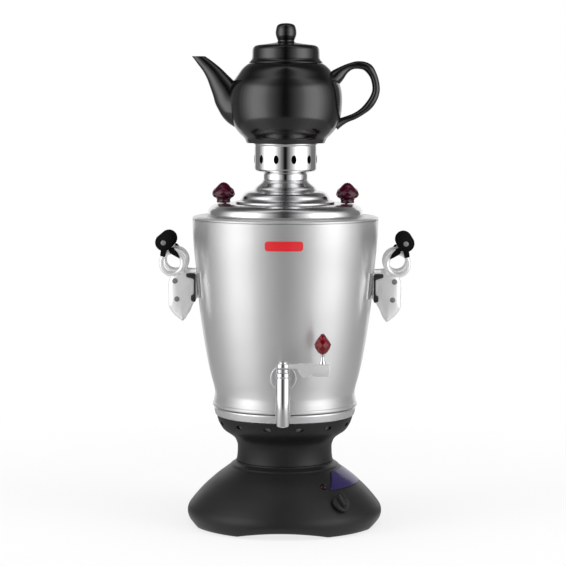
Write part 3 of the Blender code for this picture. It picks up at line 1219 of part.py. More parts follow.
def teapot_side():
    """Return the teapot's outer outline, from its seat to its rim."""
    lower = scaled(TEAPOT_LOWER_SHARES, TEAPOT_SEAT_RADIUS, TEAPOT_RADIUS, TEAPOT_HEIGHT)
    upper = scaled(TEAPOT_UPPER_SHARES, TEAPOT_RIM_RADIUS, TEAPOT_RADIUS, TEAPOT_HEIGHT)
    return lower + upper


def spout_path():
    """Return the spout's centre line and its half widths."""
    keys = [(x * TEAPOT_RADIUS, z * TEAPOT_HEIGHT, half * TEAPOT_RADIUS) for x, z, half in SPOUT_SHARES]
    curve = smooth(keys, CURVE_STEPS)
    return [(x, z) for x, z, half in curve], [half for x, z, half in curve]


def make_teapot(looks):
    """Add the hollow teapot body with its bored spout and its ear-shaped handle."""
    side = teapot_side()
    crown_bore = CROWN_RADIUS - CROWN_FLARE - CROWN_WALL
    foot = crown_bore - TEAPOT_FOOT_CLEARANCE
    foot_inner = foot - TEAPOT_FOOT_WIDTH
    hollow = thinned(moved_in(side, TEAPOT_WALL))
    hollow = [point for point in hollow if point[0] > TEAPOT_MOUTH_RADIUS]
    hollow = [(radius, max(level, TEAPOT_WALL)) for radius, level in hollow]
    under_rim = TEAPOT_HEIGHT - TEAPOT_WALL
    hollow = [point for point in hollow if point[1] < under_rim]
    loop = [(0, 0), (foot_inner, 0), (foot_inner, -TEAPOT_FOOT_DEPTH), (foot, -TEAPOT_FOOT_DEPTH),
            (foot, 0)] + side + [(0, TEAPOT_HEIGHT)]
    pot = turned("teapot_body", loop, looks["ceramic"], POT_STEPS)
    pot.location = (0, 0, TEAPOT_LEVEL)
    core = turned("teapot inside", [(0, TEAPOT_WALL)] + hollow + [
        (TEAPOT_MOUTH_RADIUS, under_rim), (TEAPOT_MOUTH_RADIUS, TEAPOT_HEIGHT + OVERRUN),
        (0, TEAPOT_HEIGHT + OVERRUN)], steps=POT_STEPS)
    path, halves = spout_path()
    spout = swept("teapot spout", path, halves, [half * SPOUT_FLATNESS_SHARE for half in halves],
                  sides=SPOUT_SIDES)
    bore = [half * SPOUT_BORE_SHARE for half in halves]
    spout_bore = swept("teapot spout bore", path, bore, [half * SPOUT_FLATNESS_SHARE for half in bore],
                       sides=SPOUT_SIDES)
    handle_path = smooth([(x * TEAPOT_RADIUS, z * TEAPOT_HEIGHT) for x, z in HANDLE_SHARES], 1)
    handle = swept("teapot handle", handle_path, [HANDLE_RADIUS] * len(handle_path),
                   [HANDLE_RADIUS] * len(handle_path), sides=SMALL_STEPS)
    lip = box("spout lip", (-TEAPOT_RADIUS, -TEAPOT_RADIUS / 2, 0),
              (TEAPOT_RADIUS, TEAPOT_RADIUS / 2, TEAPOT_RADIUS / 2))
    for thing in (spout, spout_bore, core, handle):
        thing.location = (0, 0, TEAPOT_LEVEL)
    tip_x, tip_z = path[-1]
    lip.location = (tip_x, 0, TEAPOT_LEVEL + TEAPOT_HEIGHT * SPOUT_CUT_LEVEL_SHARE)
    fuse(pot, spout, handle)
    cut(pot, core, spout_bore, lip)


def make_pot_lid(looks):
    """Add the teapot's lid with its plug, its finial and a small vent."""
    outer = scaled(POT_LID_SHARES, 0, POT_LID_RADIUS, POT_LID_HEIGHT)
    plug = TEAPOT_MOUTH_RADIUS - 2 * FIT
    inner_radius = plug - POT_LID_WALL
    roof = POT_LID_HEIGHT * POT_LID_SHARES[3][1] - POT_LID_WALL / 2
    loop = [(0, roof), (inner_radius, roof), (inner_radius, -POT_LID_PLUG_DEPTH),
            (plug, -POT_LID_PLUG_DEPTH), (plug, 0)] + outer
    lid = turned("teapot_lid", loop, looks["ceramic"], POT_STEPS)
    lid.location = (0, 0, POT_LID_LEVEL)
    vent = rod("lid vent", POT_LID_VENT_RADIUS, 0, POT_LID_HEIGHT)
    vent.location = (0, POT_LID_VENT_OFFSET_SHARE * POT_LID_RADIUS, POT_LID_LEVEL)
    cut(lid, vent)


def mirrored(outline, side):
    """Return an outline with its first coordinate on one side of the middle."""
    return [(side * across, level) for across, level in outline]


def along_y(name, x, level, radius, low, high, look=None, steps=MEDIUM_STEPS):
    """Add a cylinder along Y between two places."""
    thing = rod(name, radius, -high, -low, look, steps)
    thing.location = (x, 0, level)
    thing.rotation_euler = (QUARTER_TURN, 0, 0)
    return thing


def make_casting(looks, word, side, form):
    """Add the cast handle bracket: two arms with a ring and a leaf, joined by a bridge."""
    half = (ARM_SPACING + ARM_THICKNESS) / 2
    gap = (ARM_SPACING - ARM_THICKNESS) / 2
    leaf_height = LEAF_TOP_LEVEL - LEAF_TIP_LEVEL
    leaf = [(mix(LEAF_ROOT, LEAF_REACH, across), LEAF_TIP_LEVEL + up * leaf_height)
            for across, up in LEAF_SHARES]
    casting = extruded(f"handle_casting_{word}", mirrored(leaf, side), -half, half, looks["chrome"])
    ring = along_y(f"ring {word}", side * RING_OFFSET, RING_LEVEL, RING_RADIUS, -half, half)
    eye = along_y(f"eye {word}", side * GRIP_OFFSET, GRIP_LEVEL, EYE_RADIUS, -half, half)
    neck_half = EYE_RADIUS * EYE_NECK_SHARE
    neck = [(GRIP_OFFSET - neck_half, GRIP_LEVEL), (GRIP_OFFSET + neck_half, GRIP_LEVEL)]
    neck += [(RING_OFFSET + RING_RADIUS * across, RING_LEVEL + RING_RADIUS * up)
             for across, up in STALK_SHARES]
    stalk = extruded(f"stalk {word}", mirrored(neck, side), -half, half)
    fuse(casting, ring, eye, stalk)
    far = side * (GRIP_OFFSET + GRIP_RADIUS)
    near = side * BRIDGE_REACH
    window = box(f"window {word}", (min(near, far), -gap, LEAF_TIP_LEVEL - OVERRUN),
                 (max(near, far), gap, GRIP_LEVEL + GRIP_RADIUS))
    wall = side * LEAF_ROOT
    low_notch = box(f"notch {word}", (min(wall, far) - OVERRUN, -gap, LEAF_TIP_LEVEL - OVERRUN),
                    (max(wall, far) + OVERRUN, gap, BRIDGE_LOW_LEVEL))
    ring_hole = along_y(f"ring hole {word}", side * (RING_OFFSET + RING_HOLE_SHIFT), RING_LEVEL,
                        RING_HOLE_RADIUS, -half - OVERRUN, half + OVERRUN)
    bolt_hole = along_y(f"eye hole {word}", side * GRIP_OFFSET, GRIP_LEVEL,
                        hole_radius(GRIP_BOLT_RADIUS, MEDIUM_STEPS), -half - OVERRUN, half + OVERRUN)
    top_notch = box(f"top notch {word}", (min(wall, near) - OVERRUN, -gap, LEAF_TOP_LEVEL),
                    (max(wall, near) + OVERRUN, gap, GRIP_LEVEL))
    cut(casting, window, low_notch, top_notch, ring_hole, bolt_hole, form)
    return casting


def make_gasket(looks, word, side, form, wall):
    """Add the black pad between the bracket and the vessel."""
    half = (ARM_SPACING + ARM_THICKNESS) / 2
    near = side * LEAF_ROOT
    far = side * LEAF_REACH
    gasket = box(f"handle_gasket_{word}", (min(near, far), -half, GASKET_LOW_LEVEL),
                 (max(near, far), half, LEAF_TOP_LEVEL), looks["rubber"])
    keep_inside(gasket, form)
    cut(gasket, wall)
    return gasket


def make_grip(looks, word, side):
    """Add the grip bar with a slot over each eye, its through bolt and its cap nut."""
    half = GRIP_LENGTH / 2
    bore = hole_radius(GRIP_BOLT_RADIUS, MEDIUM_STEPS)
    edge = GRIP_RADIUS - GRIP_END_CHAMFER
    grip = turned(f"grip_{word}", [
        (bore, -half), (edge, -half), (GRIP_RADIUS, GRIP_END_CHAMFER - half),
        (GRIP_RADIUS, half - GRIP_END_CHAMFER), (edge, half), (bore, half)],
        looks["plastic"], MEDIUM_STEPS)
    arm_half = ARM_THICKNESS / 2 + FIT
    near = -side * (GRIP_RADIUS + OVERRUN)
    far = side * SLOT_REACH
    middle = side * GRIP_OFFSET
    low = GRIP_LEVEL - GRIP_RADIUS - OVERRUN
    top = GRIP_LEVEL + SLOT_REACH
    for number, place in enumerate((-ARM_SPACING / 2, ARM_SPACING / 2), 1):
        slot = box(f"grip slot {word} {number}", (middle + min(near, far), place - arm_half, low),
                   (middle + max(near, far), place + arm_half, top))
        cut(grip, slot)
    seat = half + FIT
    head = [(GRIP_CAP_RADIUS * across, -seat - GRIP_CAP_HEIGHT * up) for across, up in GRIP_CAP_SHARES]
    tip = seat + GRIP_NUT_GRIP
    bolt = turned(f"grip_bolt_{word}", head + [
        (GRIP_BOLT_RADIUS, -seat), (GRIP_BOLT_RADIUS, tip), (0, tip)], looks["chrome"], MEDIUM_STEPS)
    nut = turned(f"grip_nut_{word}", [(0, tip + FIT), (bore, tip + FIT), (bore, seat)]
                 + [(radius, -level) for radius, level in head[::-1]], looks["chrome"], MEDIUM_STEPS)
    for thing in (grip, bolt, nut):
        thing.location = (middle, 0, GRIP_LEVEL)
        thing.rotation_euler = (-QUARTER_TURN, 0, 0)


def make_handle_screws(looks, word, side, casting, gasket, vessel):
    """Add the two screws that hold a bracket from inside the vessel."""
    wall = wall_flat(HANDLE_SCREW_LEVEL)
    head_top = wall - VESSEL_WALL - 2 * FIT - HANDLE_SCREW_SETBACK
    tip = wall + GASKET_THICKNESS + HANDLE_SCREW_GRIP
    outline = [(0, head_top - HANDLE_SCREW_HEAD_HEIGHT),
               (HANDLE_SCREW_HEAD_RADIUS, head_top - HANDLE_SCREW_HEAD_HEIGHT),
               (HANDLE_SCREW_HEAD_RADIUS, head_top), (HANDLE_SCREW_RADIUS, head_top),
               (HANDLE_SCREW_RADIUS, tip), (0, tip)]
    middle = 0 if side > 0 else math.pi
    for place, turn in (("front", -side * HANDLE_SCREW_AZIMUTH), ("rear", side * HANDLE_SCREW_AZIMUTH)):
        screw = turned(f"handle_screw_{word}_{place}", outline, looks["zinc"], SMALL_STEPS)
        radial(screw, middle + turn, (0, 0, HANDLE_SCREW_LEVEL))
        hole = rod(f"handle screw hole {word} {place}", hole_radius(HANDLE_SCREW_RADIUS, SMALL_STEPS),
                   head_top - OVERRUN, tip + FIT)
        radial(hole, middle + turn, (0, 0, HANDLE_SCREW_LEVEL))
        cut(vessel, hole)
        cut(gasket, hole)
        cut(casting, hole)


def make_handles(looks, vessel, forms):
    """Add both side handles with everything that holds them."""
    for word, side in (("left", -1), ("right", 1)):
        casting = make_casting(looks, word, side, forms["casting"])
        gasket = make_gasket(looks, word, side, forms["gasket"], forms["outside"])
        make_grip(looks, word, side)
        make_handle_screws(looks, word, side, casting, gasket, vessel)


def build():
    """Clear the scene and make every piece."""
    for thing in list(bpy.data.objects):
        bpy.data.objects.remove(thing)
    looks = make_looks()
    make_feet(looks)
    make_plate(looks)
    skirt = make_skirt(looks)
    make_inlet(looks)
    make_lamp(looks, skirt)
    make_thermostat(looks, skirt)
    make_panel(looks)
    make_collar(looks)
    make_tie_bolt(looks)
    make_band(looks)
    vessel = make_vessel(looks)
    make_shoulder(looks)
    make_heater(looks, vessel)
    make_wires(looks)
    forms = wall_forms()
    make_tap(looks, vessel, forms)
    make_tap_key(looks)
    lid = make_lid(looks)
    make_lid_knobs(looks, lid)
    make_neck(looks)
    make_crown(looks)
    make_teapot(looks)
    make_pot_lid(looks)
    make_handles(looks, vessel, forms)


build()
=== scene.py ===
"""Electric samovar with its teapot: the looks of every piece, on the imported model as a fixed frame."""

import json
import math

import bmesh
import bpy
import numpy as np
from mathutils import Matrix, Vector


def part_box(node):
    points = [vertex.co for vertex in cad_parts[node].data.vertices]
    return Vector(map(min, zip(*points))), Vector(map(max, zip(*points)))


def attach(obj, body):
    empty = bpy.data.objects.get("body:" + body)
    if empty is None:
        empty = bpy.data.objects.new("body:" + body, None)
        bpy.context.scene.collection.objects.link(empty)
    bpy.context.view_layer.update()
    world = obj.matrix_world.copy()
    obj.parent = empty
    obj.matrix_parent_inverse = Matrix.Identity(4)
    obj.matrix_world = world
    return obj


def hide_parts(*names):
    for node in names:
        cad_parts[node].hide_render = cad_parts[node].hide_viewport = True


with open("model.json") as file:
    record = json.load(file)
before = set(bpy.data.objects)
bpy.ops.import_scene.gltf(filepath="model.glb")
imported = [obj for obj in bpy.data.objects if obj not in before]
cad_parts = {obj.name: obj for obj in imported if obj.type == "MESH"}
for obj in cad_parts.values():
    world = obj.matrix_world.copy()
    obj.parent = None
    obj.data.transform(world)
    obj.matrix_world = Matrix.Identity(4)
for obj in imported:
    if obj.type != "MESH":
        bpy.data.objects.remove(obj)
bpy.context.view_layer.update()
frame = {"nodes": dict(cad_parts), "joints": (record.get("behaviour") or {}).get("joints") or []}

# Studio
# A pale sweep of floor, two tall softboxes at the front sides and a weaker one over the top. The
# metal mirrors a round of cards instead of the lamps: a soft bright field at each side, a dark
# strip in the middle, and the pale background behind.

bpy.context.scene.view_settings.view_transform = "Standard"


def added(tree, kind, *values, **named):
    """A new shader node. Its inputs, by place or by name, are joined to a socket or get a value."""
    node = tree.nodes.new("ShaderNode" + kind)
    inputs = dict(enumerate(values)) | {name.replace("_", " "): value for name, value in named.items()}
    for socket, value in inputs.items():
        if isinstance(value, bpy.types.NodeSocket):
            tree.links.new(value, node.inputs[socket])
        else:
            node.inputs[socket].default_value = value
    return node


def math_node(tree, operation, *values):
    """The output of a math node."""
    node = added(tree, "Math", *values)
    node.operation = operation
    return node.outputs[0]


def eased(tree, value, start, stop, first, last):
    """A socket that goes smoothly from first to last while the value goes from start to stop."""
    node = added(tree, "MapRange", Value=value, From_Min=start, From_Max=stop, To_Min=first, To_Max=last)
    node.interpolation_type = "SMOOTHSTEP"
    return node.outputs["Result"]


def seen_rays(tree):
    """A socket that is 1 for camera, glossy and transmission rays and 0 for the others."""
    path = added(tree, "LightPath")
    either = math_node(tree, "MAXIMUM", path.outputs["Is Camera Ray"], path.outputs["Is Glossy Ray"])
    return math_node(tree, "MAXIMUM", either, path.outputs["Is Transmission Ray"])


def blended(tree, share, first, second, end):
    """Mix two shaders by a share and join them to the surface of the end node."""
    mix = added(tree, "MixShader", share, first.outputs[0], second.outputs[0])
    tree.links.new(mix.outputs[0], tree.nodes[end].inputs["Surface"])


def linked(name, mesh, look):
    """An object of a mesh and its one material, in the scene."""
    mesh.materials.append(look)
    thing = bpy.data.objects.new(name, mesh)
    bpy.context.scene.collection.objects.link(thing)
    return thing


def staged(name, points, faces, look):
    """A studio object, which isn't part of the samovar."""
    mesh = bpy.data.meshes.new(name)
    mesh.from_pydata(points, [], faces)
    thing = linked(name, mesh, look)
    return thing


world = bpy.data.worlds.new("pale studio")
world.use_nodes = True
bpy.context.scene.world = world
tree = world.node_tree
dim = tree.nodes["Background"]
dim.inputs["Color"].default_value = (1, 1, 1, 1)
dim.inputs["Strength"].default_value = 0.55
bright = added(tree, "Background", Color=(1, 1, 1, 1), Strength=1.0)
blended(tree, seen_rays(tree), dim, bright, "World Output")

floor_look = bpy.data.materials.new("pale floor")
floor_look.use_nodes = True
tree = floor_look.node_tree
matt = tree.nodes["Principled BSDF"]
matt.inputs["Base Color"].default_value = (0.86, 0.86, 0.86, 1)
matt.inputs["Roughness"].default_value = 0.9
glow = added(tree, "Emission", Strength=1.0)
away = added(tree, "VectorMath", added(tree, "TexCoord").outputs["Object"])
away.operation = "LENGTH"
near_reach, far_reach = 0.15, 0.80
whitened = eased(tree, away.outputs["Value"], near_reach, far_reach, 0.72, 1.0)
blended(tree, math_node(tree, "MULTIPLY", seen_rays(tree), whitened), matt, glow, "Material Output")
floor_half = 9
corners = [(x * floor_half, y * floor_half, 0) for x, y in ((-1, -1), (1, -1), (1, 1), (-1, 1))]
staged("floor", corners, [(0, 1, 2, 3)], floor_look)

# The cards' grey follows the angle from the front, up to the end of the ramp, and fades upwards.
ramp_turn = math.radians(126)
stops = [(0.0, 0.003), (0.03, 0.006), (0.055, 0.04), (0.10, 0.10), (0.18, 0.24), (0.26, 0.44), (0.35, 0.85),
         (0.44, 1.0), (0.53, 1.0), (0.62, 0.72), (0.70, 0.42), (0.78, 0.22), (0.88, 0.09), (1.0, 0.09)]
fade_low, fade_high = 0.85, 1.30
card_look = bpy.data.materials.new("studio cards")
card_look.use_nodes = True
tree = card_look.node_tree
tree.nodes.remove(tree.nodes["Principled BSDF"])
split = added(tree, "SeparateXYZ", added(tree, "TexCoord").outputs["Object"])
forwards = math_node(tree, "MULTIPLY", split.outputs["Y"], -1)
turn = math_node(tree, "ABSOLUTE", math_node(tree, "ARCTAN2", split.outputs["X"], forwards))
tone = added(tree, "ValToRGB", math_node(tree, "DIVIDE", turn, ramp_turn))
tone.color_ramp.interpolation = "EASE"
while len(tone.color_ramp.elements) < len(stops):
    tone.color_ramp.elements.new(0.5)
for element, (where, grey) in zip(tone.color_ramp.elements, stops):
    element.position = where
    element.color = (grey, grey, grey, 1)
strength = eased(tree, split.outputs["Z"], fade_low, fade_high, 2.3, 0.85)
glow = added(tree, "Emission", Color=tone.outputs["Color"], Strength=strength)
tree.links.new(glow.outputs[0], tree.nodes["Material Output"].inputs["Surface"])

# Over the floor lies a card of the same kind, weaker and with less contrast.
low_look = card_look.copy()
for element in low_look.node_tree.nodes["Color Ramp"].color_ramp.elements:
    grey = 0.30 + 0.32 * element.color[0]
    element.color = (grey, grey, grey, 1)
low_look.node_tree.nodes["Map Range"].inputs["To Min"].default_value = 1.05

wall_reach, wall_top = 1.0, 1.5
for name, look, spread, rings in (
        ("studio wall", card_look, 145, ((wall_reach, 0.002), (wall_reach, wall_top))),
        ("studio flag", card_look, 180, ((wall_reach + 0.002, 0.72), (wall_reach + 0.002, wall_top))),
        ("studio ceiling", card_look, 180, ((wall_reach, wall_top), (0.02, wall_top + 0.1))),
        ("studio floor card", low_look, 180, ((0.135, 0.001), (wall_reach, 0.001)))):
    turn = np.radians(np.linspace(-90 - spread, -90 + spread, 127))
    wall = np.stack([np.stack([reach * np.cos(turn), reach * np.sin(turn), height + 0 * turn], -1)
                     for reach, height in rings])
    index = np.arange(2 * len(turn)).reshape(2, len(turn))
    faces = np.stack([index[0, :-1], index[0, 1:], index[1, 1:], index[1, :-1]], -1)
    card = staged(name, wall.reshape(-1, 3).tolist(), faces.tolist(), look)
    card.visible_camera = False
    card.visible_diffuse = False
    card.visible_transmission = False
    card.visible_shadow = False

aim_level = 0.28
for name, place, width, height, power in (
        ("left softbox", (-1.75, -0.95, 0.85), 0.8, 1.5, 20),
        ("right softbox", (1.75, -0.95, 0.85), 0.8, 1.5, 20),
        ("top softbox", (0.0, -0.2, 2.3), 1.4, 1.4, 16)):
    lamp = bpy.data.lights.new(name, "AREA")
    lamp.shape = "RECTANGLE"
    lamp.size, lamp.size_y, lamp.energy = width, height, power
    holder = bpy.data.objects.new(name, lamp)
    holder.location = place
    aim = Matrix.Translation((0, 0, aim_level)).translation - holder.location
    holder.rotation_euler = aim.to_track_quat("-Z", "Y").to_euler()
    holder.visible_glossy = False
    bpy.context.scene.collection.objects.link(holder)

# A long lens, level with the teapot's belly, whose picture is shifted down to the whole samovar.
eye_reach, eye_level = 2.288, 0.466
yaw, roll = math.radians(1.15), math.radians(0.19)
lens = bpy.data.cameras.new("camera")
lens.sensor_width = 36
lens.lens = 132.3
lens.shift_x = -0.0050
lens.shift_y = -0.3286
lens.clip_end = 30
camera = bpy.data.objects.new("camera", lens)
camera.matrix_world = (Matrix.Translation((eye_reach * math.sin(yaw), -eye_reach * math.cos(yaw), eye_level))
                       @ Matrix.Rotation(yaw, 4, "Z") @ Matrix.Rotation(math.radians(90), 4, "X")
                       @ Matrix.Rotation(roll, 4, "Z"))
bpy.context.scene.collection.objects.link(camera)
bpy.context.scene.camera = camera


# Feet, base plate and screws
# Four moulded rubber feet under a zinc plated sheet, held by screws up into the skirt. The
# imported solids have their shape, so only the materials are made here.

def new_group(name, inputs):
    """Start a node group that puts out a roughness and a height, with the named number inputs."""
    group = bpy.data.node_groups.new(name, "ShaderNodeTree")
    for socket, value in inputs.items():
        made = group.interface.new_socket(socket, in_out="INPUT", socket_type="NodeSocketFloat")
        made.default_value = value
    group.interface.new_socket("Roughness", in_out="OUTPUT", socket_type="NodeSocketFloat")
    group.interface.new_socket("Height", in_out="OUTPUT", socket_type="NodeSocketFloat")
    start = group.nodes.new("NodeGroupInput")
    end = group.nodes.new("NodeGroupOutput")
    return group, start, end


def handled_roughness(group, start, end):
    """Slow noise on Object coordinates, spread from Low to High, as the group's roughness."""
    place = added(group, "TexCoord").outputs["Object"]
    noise = added(group, "TexNoise", Vector=place, Scale=22, Detail=4)
    spread = added(group, "MapRange", Value=noise.outputs["Fac"], From_Min=0.35, From_Max=0.65,
                   To_Min=start.outputs["Low"], To_Max=start.outputs["High"])
    group.links.new(spread.outputs["Result"], end.inputs["Roughness"])
    return place


grain, start, end = new_group("moulded grain", {"Low": 0.4, "High": 0.5, "Scale": 1500})
place = handled_roughness(grain, start, end)
pits = added(grain, "TexNoise", Vector=place, Scale=start.outputs["Scale"], Detail=2)
grain.links.new(pits.outputs["Fac"], end.inputs["Height"])

# The lines' noise follows the distance from the axis and the height, so it goes round as on a lathe.
spun, start, end = new_group("spun lines", {"Low": 0.25, "High": 0.32, "Density": 2600})
place = handled_roughness(spun, start, end)
split = added(spun, "SeparateXYZ", place)
flat = added(spun, "CombineXYZ", split.outputs["X"], split.outputs["Y"])
reach = added(spun, "VectorMath", flat.outputs[0])
reach.operation = "LENGTH"
pair = added(spun, "CombineXYZ", reach.outputs["Value"], split.outputs["Z"])
lines = added(spun, "TexNoise", Vector=pair.outputs[0], Scale=start.outputs["Density"], Detail=3)
spun.links.new(lines.outputs["Fac"], end.inputs["Height"])


def finish(name, colour, roughness, metallic, group, depth, **values):
    """A Principled material with its plain values on the shader's own sockets, and a group for its
    roughness and for a height that is a bump of that depth in metres."""
    look = bpy.data.materials.new(name)
    look.use_nodes = True
    tree = look.node_tree
    shader = tree.nodes["Principled BSDF"]
    shader.inputs["Base Color"].default_value = (*colour, 1)
    shader.inputs["Roughness"].default_value = roughness
    shader.inputs["Metallic"].default_value = metallic
    effect = added(tree, "Group")
    effect.node_tree = group
    for socket, value in values.items():
        owner = effect if socket in effect.inputs else shader
        owner.inputs[socket.replace("_", " ")].default_value = value
    bump = added(tree, "Bump", Distance=depth, Strength=1.0, Height=effect.outputs["Height"])
    tree.links.new(effect.outputs["Roughness"], shader.inputs["Roughness"])
    tree.links.new(bump.outputs["Normal"], shader.inputs["Normal"])
    return look


def dress(look, *names):
    """Give CAD nodes a material."""
    for name in names:
        frame["nodes"][name].data.materials.clear()
        frame["nodes"][name].data.materials.append(look)


rubber = finish("moulded rubber", (0.018, 0.018, 0.018), 0.75, 0.0, grain, 0.00004, Low=0.68, High=0.82,
                Scale=900)
zinc = finish("zinc plated steel", (0.56, 0.56, 0.55), 0.38, 1.0, grain, 0.00001, Low=0.3, High=0.46,
              Scale=700)
dress(rubber, *(f"foot_pad_{count}" for count in range(1, 5)), "tap_washer")
dress(zinc, "base_plate", *(f"base_screw_{count}" for count in range(1, 5)), "tie_bolt")
for word in ("left", "right"):
    dress(zinc, f"lid_knob_screw_{word}", f"handle_screw_{word}_front", f"handle_screw_{word}_rear")


# Base skirt
# One black moulding in a satin grain: a bell-shaped shell with four low arches in its edge, and
# a box-shaped housing at the back for the mains inlet.

def flowing(points, steps=8):
    """Curve through points: on each span a cubic whose slope at a point is half the chord
    between that point's neighbours."""
    p = np.array(points, float)
    q = np.vstack([2 * p[:1] - p[1:2], p, 2 * p[-1:] - p[-2:-1]])
    a, b, c, d = (q[i:len(q) - 3 + i, None] for i in range(4))
    t = np.linspace(0, 1, steps, endpoint=False)[None, :, None]
    curve = (2 * b + (c - a) * t + (2 * a - 5 * b + 4 * c - d) * t**2
             + (3 * b - a - 3 * c + d) * t**3) / 2
    return np.vstack([curve.reshape(-1, p.shape[1]), p[-1:]])


def inset(curve, distance):
    """Curve moved by a distance to its left, square to its own slope."""
    run = np.gradient(curve, axis=0)
    run /= np.linalg.norm(run, axis=1, keepdims=True)
    return curve + distance * np.stack([-run[:, 1], run[:, 0]], 1)


def turned(outline, steps=192):
    """Surface of revolution: each outline point (radius, height) goes round the Z axis."""
    angle = np.linspace(0, 2 * np.pi, steps, endpoint=False)
    radius, height = outline[:, :1], outline[:, 1:]
    return np.stack([radius * np.cos(angle), radius * np.sin(angle),
                     height + 0 * angle], -1)


def quads(points, loop):
    """Corner numbers of the quads between neighbouring rows and columns of a grid of points."""
    index = np.arange(points.shape[0] * points.shape[1]).reshape(points.shape[:2])
    low = index if loop else index[:-1]
    high = np.roll(index, -1, 0) if loop else index[1:]
    return np.stack([low, np.roll(low, -1, 1), np.roll(high, -1, 1), high], -1).reshape(-1, 4)


def outward(name, points, faces, merge):
    """A mesh whose corners within the merge distance are joined and whose faces look outward."""
    mesh = bpy.data.meshes.new(name)
    mesh.from_pydata(points.reshape(-1, 3).tolist(), [], faces)
    work = bmesh.new()
    work.from_mesh(mesh)
    if merge:
        bmesh.ops.remove_doubles(work, verts=work.verts, dist=merge)
    bmesh.ops.recalc_face_normals(work, faces=work.faces)
    work.to_mesh(mesh)
    work.free()
    return mesh


def smooth(mesh):
    """Smooth shading that breaks where two faces meet at more than the crease angle."""
    crease = math.radians(38)
    mesh.shade_smooth()
    mesh.set_sharp_from_angle(angle=crease)


same_point = 2e-6


def shell(name, parts, look, loop=False):
    """One piece from grids of points, each closed round its columns, and round its rows if it
    is a loop; rows that shrink to one point become a closed pole."""
    parts = parts if isinstance(parts, list) else [parts]
    mesh = bpy.data.meshes.new(name)
    work = bmesh.new()
    for points in parts:
        single = outward("part", points, quads(points, loop).tolist(), same_point)
        work.from_mesh(single)
        bpy.data.meshes.remove(single)
    work.to_mesh(mesh)
    work.free()
    smooth(mesh)
    return linked(name, mesh, look)


def fit(piece, body, slot, *names):
    """Let a piece ride on a body and stand for CAD nodes, which it hides. The slot is not used."""
    if names:
        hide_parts(*names)
    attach(piece, body)
    return piece


black = finish("black moulded plastic", (0.011, 0.011, 0.0115), 0.4, 0.0, grain, 0.00003, Low=0.34, High=0.44,
               Scale=1300, Specular_IOR_Level=0.3)
skirt_side = flowing([
    (0.1035, 0.0013), (0.1055, 0.0052), (0.1062, 0.0118), (0.1050, 0.0184), (0.1007, 0.0250),
    (0.0952, 0.0316), (0.0891, 0.0382), (0.0820, 0.0448), (0.0743, 0.0514), (0.0655, 0.0580),
    (0.0593, 0.0626)])
skirt_top = flowing([(0.0590, 0.0634), (0.0567, 0.0650), (0.0545, 0.0664), (0.0534, 0.0679)], 5)
skirt_outer = np.vstack([skirt_side, skirt_top])
moulded_wall = 0.0025
skirt_inner = inset(skirt_side, moulded_wall)[::-1]
skirt = turned(np.vstack([skirt_outer, [(0.0510, 0.0679), (0.0510, 0.0625)], skirt_inner]), 288)

# Each arch lifts the edge as a parabola about its quarter's middle, and the lift fades upwards.
arch_height, arch_half, arch_fade = 0.0055, 0.048, 0.024
edge_radius, edge_level = skirt_side[0]
angle = np.arctan2(skirt[..., 1], skirt[..., 0])
aside = edge_radius * np.sin(angle - np.pi / 2 * np.round(angle / (np.pi / 2)))
rise = arch_height * np.clip(1 - (aside / arch_half)**2, 0, None)
skirt[..., 2] += rise * np.clip(1 - (skirt[..., 2] - edge_level) / arch_fade, 0, 1)**2


def rounded_rectangle(half_x, half_z, corner, count=48, dense=False):
    """Closed outline: a circle of the corner's radius, cut in four and moved out to the corners.
    A dense one is set out again in even steps, so that it can lie on a curved face."""
    angle = (np.arange(count) + 0.5) * 2 * np.pi / count
    x, z = np.cos(angle), np.sin(angle)
    outline = np.stack([np.sign(x) * (half_x - corner) + corner * x,
                        np.sign(z) * (half_z - corner) + corner * z], -1)
    if not dense:
        return outline
    loop = np.vstack([outline, outline[:1]])
    length = np.r_[0, np.cumsum(np.linalg.norm(np.diff(loop, axis=0), axis=1))]
    steps = np.linspace(0, length[-1], 2 * count, endpoint=False)
    return np.stack([np.interp(steps, length, loop[:, 0]), np.interp(steps, length, loop[:, 1])], -1)


def nested(half_x, half_z, corner, stations, middle):
    """Rounded rectangles one behind the other along Y: a station is (growth, y), and a growth
    of None shrinks the outline to its middle."""
    rows = [np.zeros((48, 2)) if grow is None
            else rounded_rectangle(half_x + grow, half_z + grow, max(corner + grow, 0.0003))
            for grow, y in stations]
    flat = np.array(rows)
    y = np.array([y for grow, y in stations])[:, None] + 0 * flat[..., 0]
    return np.stack([flat[..., 0] + middle[0], y, flat[..., 1] + middle[1]], -1)


inlet_level = 0.027
housing = nested(0.0190, 0.0150, 0.0035, [
    (0, 0.0770), (0, 0.1068), (-0.0002, 0.1076), (-0.0008, 0.1083), (-0.0016, 0.1085),
    (-0.0049, 0.1085), (-0.0049, 0.0770)], (0, inlet_level))
fit(shell("skirt_shell", [skirt, housing], black, loop=True), "samovar", "black_plastic", "base_skirt")


# Mains inlet
# A flanged inlet of black plastic in the housing, with a deep socket and three plated blades.

